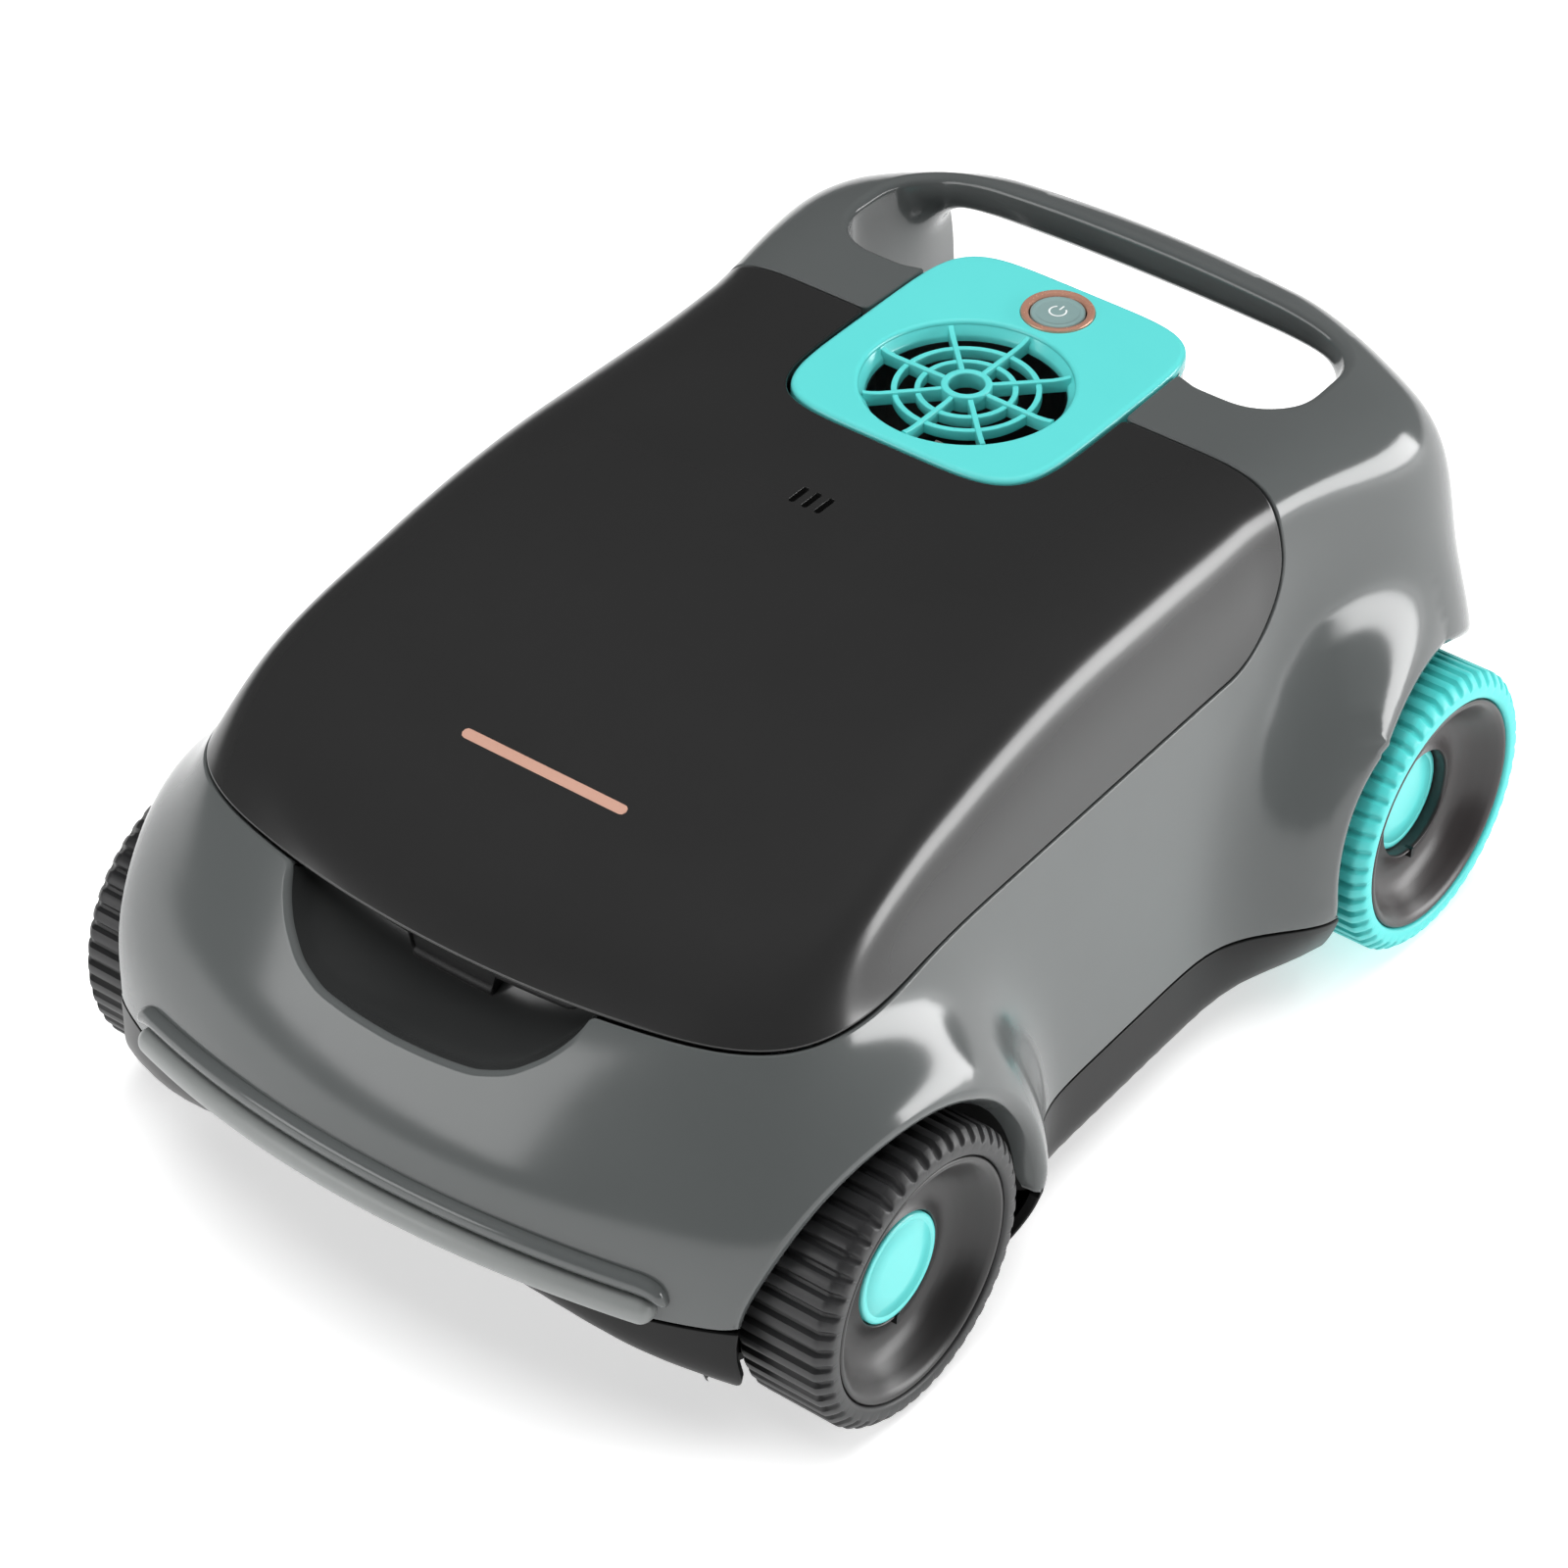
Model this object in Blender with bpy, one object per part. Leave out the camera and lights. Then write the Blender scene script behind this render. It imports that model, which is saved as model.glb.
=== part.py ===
"""Cordless pool cleaner: a four-wheeled plastic hull, a hinged filter lid and a top jet grille.

All numbers are millimetres and are turned into metres by MM. The front is -Y, the carrying
handle is at +Y, Z is up, and the wheels stand on z = 0 with the origin under the middle of the
object. The outer hull is one smooth function of x, y and z, so the shell, the lid and the
chassis are cut from the same surface and meet along their parting lines.
"""
import bpy
import bmesh
import numpy as np
from math import cos, pi, radians, sin
from mathutils import Matrix, Vector

MM = 0.001
GAP = 0.3                       # air between two touching pieces
MERGE = 0.000004                # metres; points closer than this are one

# Driving dimensions
LENGTH = 432.0
AXLE_FRONT = -123.6
AXLE_REAR = 158.6
AXLE_HEIGHT = 50.0
TYRE_RADIUS = 50.0
TYRE_WIDTH = 34.0
WHEEL_FACE_FRONT = 148.7        # outer faces of the tyres
WHEEL_FACE_REAR = 151.1
ARCH_RADIUS = 58.0
WELL_WALL = 108.0               # inner end of a wheel well
WALL = 3.0                      # moulded wall
FLOOR = 18.0                    # underside of the chassis
LID_EDGE = 137.5                # lower edge of the lid
LID_REAR = 109.0                # rear edge of the lid, its hinge line
LID_TOP = 192.9                 # outer surface at the hinge line
LID_CORNER = 31.0
SPLIT_FRONT = 58.0              # heights of the parting line between shell and chassis
SPLIT_SIDE = 43.0
SPLIT_REAR = 60.0
FAN_Y = 95.0                    # centre of the jet grille, the motor and the impeller
PANEL_TOP = 194.0
PANEL_THICK = 5.0
BUTTON_Y = 145.0

HULL_ROWS = 22                  # facets of the hull; the inner surface uses the same rays
HULL_COLUMNS = 48

BODY_CENTRE = np.array([0.0, 10.0, 95.0])
BODY_REACH = np.array([120.0, 210.0, 95.0])


# ---------------------------------------------------------------- outer surface of the hull
def soft_max(a, b, blend):
    """Larger of two distances, rounded where they are closer than blend."""
    share = np.maximum(blend - np.abs(a - b), 0.0) / blend
    return np.maximum(a, b) + share ** 3 * blend / 6.0


def ramp(value, start, end):
    """Smooth step from 0 at start to 1 at end."""
    t = np.clip((value - start) / (end - start), 0.0, 1.0)
    return t * t * (3.0 - 2.0 * t)


def roof_height(x, y):
    """Flat roof that falls to the front and lifts into the arched handle bar."""
    fall = 25.7 * (np.maximum(14.0 - y, 0.0) / 132.0) ** 1.9
    return 193.3 - fall + ramp(y, 148.0, 190.0) * (7.5 - 0.0006 * x * x)


def flank(y, z):
    """Half width of the body, with a flare over each wheel."""
    front = np.hypot(y - AXLE_FRONT, z - AXLE_HEIGHT)
    rear = np.hypot(y - AXLE_REAR, z - AXLE_HEIGHT)
    front_flare = np.exp(-(np.maximum(front - 57.0, 0.0) / 22.0) ** 2)
    rear_flare = np.exp(-(np.maximum(rear - 57.0, 0.0) / 25.0) ** 2)
    bulge = 17.0 * ramp(y, 95.0, 185.0)
    width = 117.5 - 0.022 * y + bulge + 0.09 * (LID_EDGE - z)
    width = width + np.clip(20.5 + 0.10 * (y - AXLE_FRONT), 13.0, 23.5) * front_flare
    return width + np.clip(28.5 - 0.15 * (y - 140.0) - bulge, 8.0, 27.0) * rear_flare


def hull(points):
    """Distance-like value: below zero inside the body, in millimetres."""
    x, y, z = np.abs(points[..., 0]), points[..., 1], points[..., 2]
    side = 0.985 * (x - flank(y, z))
    bow = y - 0.0018 * x * x
    slope = -0.8367 * (bow + 214.5) + 0.5486 * (z - 78.0)
    front = soft_max(slope, -(bow + 210.0), 18.0)
    rear = y - LENGTH / 2.0 + 0.0005 * x * x + 0.0017 * np.maximum(z - 130.0, 0.0) ** 2
    value = soft_max(side, front, 44.0)
    value = soft_max(value, rear, 54.0)
    shoulder = 30.0 + 14.0 * ramp(y, -140.0, -60.0) - 12.0 * ramp(y, 60.0, 140.0)
    shoulder = shoulder + 26.0 * ramp(y, 110.0, 190.0) * ramp(x, 55.0, 105.0)
    value = soft_max(value, z - roof_height(x, y), shoulder)
    keel = soft_max(FLOOR - z, -0.545 * (y + 209.0) - 0.838 * (z - 52.0), 14.0)
    return soft_max(value, keel, 10.0)


def cast(origin, direction, offset=0.0, reach=420.0):
    """Points where rays from inside the body meet the surface hull = offset."""
    near = np.zeros(direction.shape[:-1])
    far = near + reach
    for _ in range(30):
        middle = 0.5 * (near + far)
        inside = hull(origin + direction * middle[..., None]) < offset
        near = np.where(inside, middle, near)
        far = np.where(inside, far, middle)
    return origin + direction * near[..., None]


# ---------------------------------------------------------------- mesh making
def mesh_from(points, faces):
    """Closed mesh with its faces pointing out, from millimetre points."""
    mesh = bpy.data.meshes.new("shape")
    mesh.from_pydata([tuple(float(c) * MM for c in p) for p in points], [], faces)
    work = bmesh.new()
    work.from_mesh(mesh)
    bmesh.ops.recalc_face_normals(work, faces=work.faces)
    work.to_mesh(mesh)
    work.free()
    return mesh


def hull_mesh(offset, rows, columns):
    """The body's surface moved out by offset, as rows of latitude about its centre."""
    polar = np.linspace(0.0, pi, rows + 1)[1:-1]
    around = np.linspace(0.0, 2.0 * pi, columns, endpoint=False)
    t, a = np.meshgrid(polar, around, indexing="ij")
    heading = np.stack([np.sin(t) * np.cos(a), np.sin(t) * np.sin(a), np.cos(t)], -1) * BODY_REACH
    poles = np.array([[0.0, 0.0, 1.0], [0.0, 0.0, -1.0]])
    heading = np.concatenate([heading.reshape(-1, 3), poles])
    heading /= np.linalg.norm(heading, axis=1, keepdims=True)
    points = cast(BODY_CENTRE, heading, offset)
    top, bottom = len(points) - 2, len(points) - 1
    faces = []
    for column in range(columns):
        following = (column + 1) % columns
        faces.append((top, column, following))
        last = (rows - 2) * columns
        faces.append((bottom, last + following, last + column))
        for row in range(rows - 2):
            a0 = row * columns
            a1 = a0 + columns
            faces.append((a0 + column, a1 + column, a1 + following, a0 + following))
    return mesh_from(points, faces)


def box(low, high):
    """Plain block between two corners."""
    corners = [(x, y, z) for x in (low[0], high[0]) for y in (low[1], high[1]) for z in (low[2], high[2])]
    faces = [(0, 1, 3, 2), (4, 6, 7, 5), (0, 4, 5, 1), (2, 3, 7, 6), (0, 2, 6, 4), (1, 5, 7, 3)]
    return mesh_from(corners, faces)


def prism(outline, axis, low, high):
    """Outline extruded along an axis: its points are (y, z), (x, z) or (x, y)."""
    place = {"X": lambda u, v, w: (w, u, v), "Y": lambda u, v, w: (u, w, v), "Z": lambda u, v, w: (u, v, w)}[axis]
    count = len(outline)
    points = [place(u, v, low) for u, v in outline] + [place(u, v, high) for u, v in outline]
    faces = [tuple(range(count)), tuple(range(2 * count - 1, count - 1, -1))]
    faces += [(i, (i + 1) % count, count + (i + 1) % count, count + i) for i in range(count)]
    return mesh_from(points, faces)


def turned(profile, axis, centre, segments, closed=True):
    """Profile of (radius, place along the axis) spun round an axis through centre."""
    place = {"X": lambda u, v, w: (w, u, v), "Y": lambda u, v, w: (u, w, v), "Z": lambda u, v, w: (u, v, w)}[axis]
    points = []
    rings = []
    for radius, along in profile:
        steps = 1 if radius == 0.0 else segments
        rings.append([len(points) + i for i in range(steps)])
        for i in range(steps):
            angle = 2.0 * pi * i / segments - pi / 2.0
            local = place(radius * cos(angle), radius * sin(angle), along)
            points.append(tuple(c + d for c, d in zip(centre, local)))
    pairs = list(zip(rings, rings[1:]))
    if closed:
        pairs.append((rings[-1], rings[0]))
    faces = []
    for one, two in pairs:
        for i in range(segments):
            corner = [one[i % len(one)], one[(i + 1) % len(one)], two[(i + 1) % len(two)], two[i % len(two)]]
            face = tuple(dict.fromkeys(corner))
            if len(face) > 2:
                faces.append(face)
    return mesh_from(points, faces)


def rod(axis, centre, radius, low, high, segments=20):
    """Solid cylinder along an axis."""
    return turned([(0.0, low), (radius, low), (radius, high), (0.0, high)], axis, centre, segments, False)


def tube(axis, centre, inner, outer, low, high, segments=24):
    """Cylinder with a bore."""
    return turned([(inner, low), (outer, low), (outer, high), (inner, high)], axis, centre, segments)


def tidied(mesh):
    """The mesh without the tiny edges that a cut leaves, in triangles."""
    work = bmesh.new()
    work.from_mesh(mesh)
    bmesh.ops.remove_doubles(work, verts=work.verts, dist=MERGE)
    bmesh.ops.dissolve_degenerate(work, dist=MERGE, edges=work.edges)
    bmesh.ops.triangulate(work, faces=work.faces)
    work.to_mesh(mesh)
    work.free()
    return mesh


def boolean(mesh, tools, operation="DIFFERENCE"):
    """Mesh after one exact Boolean with each tool in turn."""
    for tool in tools:
        helpers = []
        for shape in (mesh, tool):
            helper = bpy.data.objects.new("work", shape)
            bpy.context.scene.collection.objects.link(helper)
            helpers.append(helper)
        modifier = helpers[0].modifiers.new("cut", "BOOLEAN")
        modifier.operation = operation
        modifier.solver = "EXACT"
        modifier.object = helpers[1]
        view = bpy.context.evaluated_depsgraph_get()
        mesh = tidied(bpy.data.meshes.new_from_object(helpers[0].evaluated_get(view)))
        for helper in helpers:
            bpy.data.objects.remove(helper)
    return mesh


def arc(centre, radius, start, end, steps):
    """Points on an arc, angles in degrees."""
    turns = [radians(start + (end - start) * i / steps) for i in range(steps + 1)]
    return [(centre[0] + radius * cos(t), centre[1] + radius * sin(t)) for t in turns]


def rounded_rectangle(low, high, radius, steps=4):
    """Rectangle outline with round corners."""
    (x0, y0), (x1, y1) = low, high
    outline = arc((x1 - radius, y0 + radius), radius, -90, 0, steps)
    outline += arc((x1 - radius, y1 - radius), radius, 0, 90, steps)
    outline += arc((x0 + radius, y1 - radius), radius, 90, 180, steps)
    return outline + arc((x0 + radius, y0 + radius), radius, 180, 270, steps)


# ---------------------------------------------------------------- objects and materials
MATERIALS = {
    "shell_gloss_grey": ("#6c6f70", 0.22, 0.0),
    "lid_gloss_charcoal": ("#2e2e2f", 0.20, 0.0),
    "panel_gloss_aqua": ("#4fe4de", 0.25, 0.0),
    "tyre_aqua": ("#45d9d2", 0.55, 0.0),
    "tyre_black": ("#2a2a2b", 0.60, 0.0),
    "hub_satin_dark": ("#3a3737", 0.40, 0.0),
    "bumper_grey": ("#8f9290", 0.35, 0.0),
    "chassis_black": ("#232425", 0.50, 0.0),
    "bezel_rose_metal": ("#c98f77", 0.25, 1.0),
    "button_clear": ("#b9cfd0", 0.10, 0.0),
    "steel": ("#b5b7b8", 0.30, 1.0),
    "rubber_black": ("#191919", 0.80, 0.0),
    "filter_mesh": ("#c7cccd", 0.70, 0.0),
    "board_green": ("#1f5c3a", 0.50, 0.0),
    "bush_white": ("#dedcd4", 0.45, 0.0),
    "cell_blue": ("#2f4f86", 0.50, 0.0),
}


def linear(channel):
    """One sRGB channel, 0 to 1, as linear light."""
    return channel / 12.92 if channel <= 0.04045 else ((channel + 0.055) / 1.055) ** 2.4


def material(name):
    """Principled material from the table above, made once."""
    made = bpy.data.materials.get(name)
    if made:
        return made
    code, roughness, metallic = MATERIALS[name]
    made = bpy.data.materials.new(name)
    made.use_nodes = True
    shader = made.node_tree.nodes["Principled BSDF"]
    colour = [linear(int(code[i:i + 2], 16) / 255.0) for i in (1, 3, 5)]
    shader.inputs["Base Color"].default_value = (*colour, 1.0)
    shader.inputs["Roughness"].default_value = roughness
    shader.inputs["Metallic"].default_value = metallic
    return made


def piece(name, mesh, finish, origin=(0.0, 0.0, 0.0)):
    """Named object whose origin, in millimetres, is on its joint's axis."""
    mesh = mesh.copy()
    mesh.name = name
    mesh.materials.clear()
    mesh.materials.append(material(finish))
    shift = Vector(origin) * MM
    mesh.transform(Matrix.Translation(-shift))
    tidied(mesh)
    mesh.shade_smooth()
    mesh.set_sharp_from_angle(angle=radians(32.0))
    made = bpy.data.objects.new(name, mesh)
    made.location = shift
    bpy.context.scene.collection.objects.link(made)
    return made


# ---------------------------------------------------------------- outlines shared by cutters
def panel_outline(grow):
    """Jet grille panel seen from above: a rounded square, a little barrel shaped."""
    half_x, front, back = 50.0 + grow, 53.0 - grow, 161.5 + grow
    middle, half_y = (front + back) / 2.0, (back - front) / 2.0
    outline = []
    for i in range(32):
        t = 2.0 * pi * (i + 0.5) / 32
        c, s = cos(t), sin(t)
        power = 2.0 / 5.2
        outline.append((half_x * np.sign(c) * abs(c) ** power, middle + half_y * np.sign(s) * abs(s) ** power))
    return outline


def lid_outline(grow):
    """Lid seen from the side, as (y, z): the lower edge, the rear corner and the hinge line."""
    edge, back = LID_EDGE - grow, LID_REAR + grow
    radius = LID_CORNER + grow
    corner = arc((LID_REAR - LID_CORNER, LID_EDGE + LID_CORNER), radius, -90, 0, 6)
    return [(-260.0, edge)] + corner + [(back, 260.0), (-260.0, 260.0)]


def pocket(grow):
    """Hand opening: down through the roof behind the panel and out through the rear face."""
    side = 91.0 + grow
    shoulder = arc((side - 20.0, 159.5), 20.0 + grow * 0.0, 0, -90, 4)
    front = [(x, y - grow) for x, y in shoulder[1:]]
    tongue = [(57.0, 139.5 - grow), (52.5, 145.0 - grow), (50.5, 152.0 - grow), (43.0, 160.0 - grow)]
    right = [(side, 260.0), (side, 159.5)] + front + tongue + [(30.0, 163.0 - grow)]
    plan = right + [(-x, y) for x, y in reversed(right)]
    floor = [(260.0, 104.0 - grow), (205.0, 107.0 - grow), (182.0, 115.0 - grow), (164.0, 132.0 - grow),
             (150.0 - grow, 156.0), (141.0 - grow, 182.0), (136.0 - grow, 230.0)]
    if grow:
        section = floor + [(260.0, 230.0)]
    else:
        section = floor + [(190.0, 230.0)] + arc((196.0, 192.0), 6.0, 180, 270, 3) + [(260.0, 184.0)]
    return boolean(prism(plan, "Z", 60.0, 240.0), [prism(section, "X", -200.0, 200.0)], "INTERSECT")


def recess(grow):
    """Finger scoop in the front face under the lid's edge."""
    outline = [(-59.0 - grow, 137.3), (-56.0 - grow, 128.0), (-45.0 - grow, 117.5 - grow), (-30.0, 114.5 - grow),
               (30.0, 114.5 - grow), (45.0 + grow, 117.5 - grow), (56.0 + grow, 128.0), (59.0 + grow, 137.3)]
    return prism(outline, "Y", -260.0, -150.0 + grow)


def well(side, axle, grow):
    """Wheel well: a cylinder open to the outside."""
    start, end = WELL_WALL - grow, 175.0
    low, high = (start, end) if side > 0 else (-end, -start)
    return rod("X", (0.0, axle, AXLE_HEIGHT), ARCH_RADIUS + grow, low, high, 24 if grow == 0.0 else 18)


# ---------------------------------------------------------------- moulded casing
def split_outline(gap):
    """Parting line between shell and chassis from the side, moved up by gap."""
    return [(-260.0, SPLIT_FRONT + gap), (-110.0 + gap, SPLIT_FRONT + gap), (-110.0 + gap, SPLIT_SIDE + gap),
            (130.0 - gap, SPLIT_SIDE + gap), (130.0 - gap, SPLIT_REAR + gap), (260.0, SPLIT_REAR + gap)]


def casing():
    """Whole hollow hull with wheel wells, hand pocket and scoop, before it is split."""
    wells = [(side, axle) for side in (-1, 1) for axle in (AXLE_FRONT, AXLE_REAR)]
    cavity = boolean(hull_mesh(-WALL, HULL_ROWS, HULL_COLUMNS), [pocket(WALL), recess(WALL)])
    cavity = boolean(cavity, [well(side, axle, WALL) for side, axle in wells])
    body = boolean(hull_mesh(0.0, HULL_ROWS, HULL_COLUMNS), [cavity])
    body = boolean(body, [pocket(0.0), recess(0.0)])
    return boolean(body, [well(side, axle, 0.0) for side, axle in wells])


def make_upper_shell(body):
    """Grey shell with the handle; open at the top for the lid and the panel."""
    above = prism(split_outline(GAP / 2) + [(260.0, 260.0), (-260.0, 260.0)], "X", -200.0, 200.0)
    shell = boolean(body, [above], "INTERSECT")
    shell = boolean(shell, [prism(lid_outline(0.4), "X", -200.0, 200.0)])
    hole = prism(panel_outline(0.5), "Z", 186.0, 240.0)
    return piece("upper_shell", boolean(shell, [hole]), "shell_gloss_grey")


def make_lid(body):
    """Charcoal filter lid, notched round the panel, with two hook tongues at its rear edge."""
    lid = boolean(body, [prism(lid_outline(0.0), "X", -200.0, 200.0)], "INTERSECT")
    lid = boolean(lid, [prism(panel_outline(1.0), "Z", 150.0, 240.0)])
    slots = [prism(rounded_rectangle((x - 1.1, 9.2), (x + 1.1, 18.2), 1.0, 2), "Z", 150.0, 240.0)
             for x in (-5.0, 0.0, 5.0)]
    lid = boolean(lid, slots)
    hooks = []
    for side in (-1, 1):
        hook = [(104.0, 190.9), (104.0, 183.0), (115.5, 183.0), (115.5, 186.6), (107.8, 186.6), (107.8, 190.9)]
        low, high = sorted((side * 56.0, side * 74.0))
        hooks.append(prism(hook, "X", low, high))
    lid = boolean(lid, hooks, "UNION")
    return piece("lid", lid, "lid_gloss_charcoal", (0.0, LID_REAR, LID_TOP))


def make_lid_latch():
    """Stepped lip with the pull tab behind the scoop."""
    outline = [(-46.0, 136.0), (-46.0, 127.0), (-17.0, 127.0), (-15.5, 117.5), (15.5, 117.5),
               (17.0, 127.0), (46.0, 127.0), (46.0, 136.0), (20.0, 138.5), (-20.0, 138.5)]
    return piece("lid_latch", prism(outline, "Y", -161.5, -156.5), "chassis_black", (0.0, LID_REAR, LID_TOP))


def make_lower_chassis(body):
    """Dark tub with the wheel wells' lower halves, axle holes, suction slot and screw holes."""
    below = prism(split_outline(-GAP / 2) + [(260.0, 0.0), (-260.0, 0.0)], "X", -200.0, 200.0)
    tub = boolean(body, [below], "INTERSECT")
    holes = []
    for side in (-1, 1):
        low, high = sorted((side * 100.0, side * 112.0))
        for axle in (AXLE_FRONT, AXLE_REAR):
            holes.append(rod("X", (0.0, axle, AXLE_HEIGHT), 7.3, low, high, 20))
    holes.append(prism(rounded_rectangle((-52.0, -84.0), (52.0, -44.0), 8.0, 3), "Z", 10.0, 30.0))
    for x, y in SCREWS:
        holes.append(turned([(0.0, 10.0), (4.4, 10.0), (4.4, FLOOR + 1.7), (2.3, FLOOR + 1.7), (2.3, 30.0),
                             (0.0, 30.0)], "Z", (x, y, 0.0), 12, False))
    holes.append(rod("Y", (0.0, 0.0, SOCKET_HEIGHT), 9.3, 200.0, 230.0, 20))
    holes.append(rod("Y", (0.0, 0.0, SOCKET_HEIGHT), 15.0, 214.0, 230.0, 20))
    return piece("lower_chassis", boolean(tub, holes), "chassis_black")


def make_bumper():
    """Bowed strip across the nose, with round ends."""
    profile = [(0.4, -4.0), (3.6, -4.7), (5.4, -2.8), (6.0, 0.0), (5.4, 2.8), (3.6, 4.7), (0.4, 4.0)]
    stations = [101.0 * sin(radians(90.0 * i / 8)) for i in range(-8, 9)]
    points = []
    for x in stations:
        middle = 62.5 + 6.5 * (1.0 - (x / 101.0) ** 2)
        nose = cast(np.array([x, 0.0, middle]), np.array([0.0, -1.0, 0.0]))[1]
        shrink = 1.0 if abs(x) < 98.0 else 0.55
        for out, rise in profile:
            points.append((x, nose - (out * shrink if out > 1.0 else out), middle + rise * shrink))
    count = len(profile)
    faces = [tuple(range(count)), tuple(range(len(points) - 1, len(points) - count - 1, -1))]
    for row in range(len(stations) - 1):
        a, b = row * count, (row + 1) * count
        faces += [(a + i, a + (i + 1) % count, b + (i + 1) % count, b + i) for i in range(count)]
    return piece("bumper_strip", mesh_from(points, faces), "bumper_grey")


# ---------------------------------------------------------------- jet grille, button
def make_grille_panel():
    """Aqua panel with a funnel, three rings and eight spokes over the impeller."""
    low = PANEL_TOP - PANEL_THICK
    plate = prism(panel_outline(-0.2), "Z", low, PANEL_TOP)
    centre = (0.0, FAN_Y, 0.0)
    funnel = turned([(0.0, low - 1.0), (32.0, low - 1.0), (32.0, low + 1.2), (36.0, PANEL_TOP + 0.1),
                     (36.0, PANEL_TOP + 2.0), (0.0, PANEL_TOP + 2.0)], "Z", centre, 28, False)
    seat = rod("Z", (0.0, BUTTON_Y, 0.0), 12.5, PANEL_TOP - 1.6, PANEL_TOP + 2.0, 24)
    bore = rod("Z", (0.0, BUTTON_Y, 0.0), 9.6, low - 1.0, PANEL_TOP + 2.0, 24)
    plate = boolean(plate, [funnel, seat, bore])
    bars = [tube("Z", centre, 6.4, 8.2, low - 1.0, low + 3.4, 16)]
    bars += [tube("Z", centre, radius - 0.9, radius + 0.9, low - 0.6, low + 2.2, 24) for radius in (15.7, 23.2)]
    for i in range(8):
        spoke = box((7.3, -0.9, low - 0.8), (32.8, 0.9, low + 2.8))
        turn = Matrix.Rotation(radians(45.0 * i), 4, "Z")
        spoke.transform(Matrix.Translation(Vector(centre) * MM) @ turn)
        bars.append(spoke)
    return piece("grille_panel", boolean(plate, bars, "UNION"), "panel_gloss_aqua")


def make_button():
    """Rose metal ring let into the panel, and the clear button that travels in it."""
    centre = (0.0, BUTTON_Y, 0.0)
    low = PANEL_TOP - 1.3
    piece("button_bezel", tube("Z", centre, 9.5, 12.2, low, PANEL_TOP + 0.8, 24), "bezel_rose_metal")
    cap = turned([(0.0, PANEL_TOP - 6.5), (9.1, PANEL_TOP - 6.5), (9.1, PANEL_TOP + 0.2), (7.8, PANEL_TOP + 0.7),
                  (0.0, PANEL_TOP + 0.9)], "Z", centre, 24, False)
    piece("power_button", cap, "button_clear", (0.0, BUTTON_Y, PANEL_TOP))


# ---------------------------------------------------------------- pump
def make_pump():
    """Duct under the grille, motor can on its stand, and the impeller."""
    centre = (0.0, FAN_Y, 0.0)
    top = PANEL_TOP - PANEL_THICK - 1.4
    flange = rounded_rectangle((-46.0, 57.0), (46.0, 133.0), 20.0)
    duct = boolean(prism(flange, "Z", top - 3.0, top), [rod("Z", centre, 35.0, 118.0, top - 0.5, 32)], "UNION")
    duct = boolean(duct, [rod("Z", centre, 32.0, 110.0, 200.0, 32)])
    piece("pump_duct", duct, "chassis_black")
    stand = boolean(tube("Z", centre, 21.0, 25.0, 21.5, 58.0, 24), [rod("Z", centre, 32.0, 21.5, 26.0, 24)], "UNION")
    piece("motor_stand", stand, "chassis_black")
    piece("pump_motor", turned([(0.0, 26.4), (20.6, 26.4), (20.6, 100.0), (17.0, 104.0), (4.6, 104.0), (4.6, 108.0),
                                (3.4, 108.0), (3.4, 92.0), (0.0, 92.0)], "Z", centre, 24, False), "steel")
    hub = turned([(0.0, 92.4), (3.0, 92.4), (3.0, 140.0), (9.0, 140.0), (9.0, 158.0), (5.0, 163.0), (0.0, 164.0)],
                 "Z", centre, 20, False)
    blades = []
    for i in range(5):
        outline = [(7.0, 142.5), (29.5, 147.5), (29.5, 151.0), (7.0, 157.0)]
        blade = prism(outline, "Y", -1.3, 1.3)
        pitch = Matrix.Rotation(radians(35.0), 4, "X")
        lift = Matrix.Translation(Vector((0.0, 0.0, 149.5 * MM)))
        turn = Matrix.Rotation(radians(72.0 * i), 4, "Z")
        blade.transform(Matrix.Translation(Vector(centre) * MM) @ turn @ lift @ pitch @ lift.inverted())
        blades.append(blade)
    piece("impeller", boolean(hub, blades, "UNION"), "bush_white", (0.0, FAN_Y, 150.0))


# ---------------------------------------------------------------- filter basket
BASKET_LOW = (-86.0, -136.0, 34.0)
BASKET_HIGH = (86.0, 42.0, 150.0)
BASKET_WALL = 3.0
BAIL_Y = -20.0
FLAP_Y = -44.5


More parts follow.
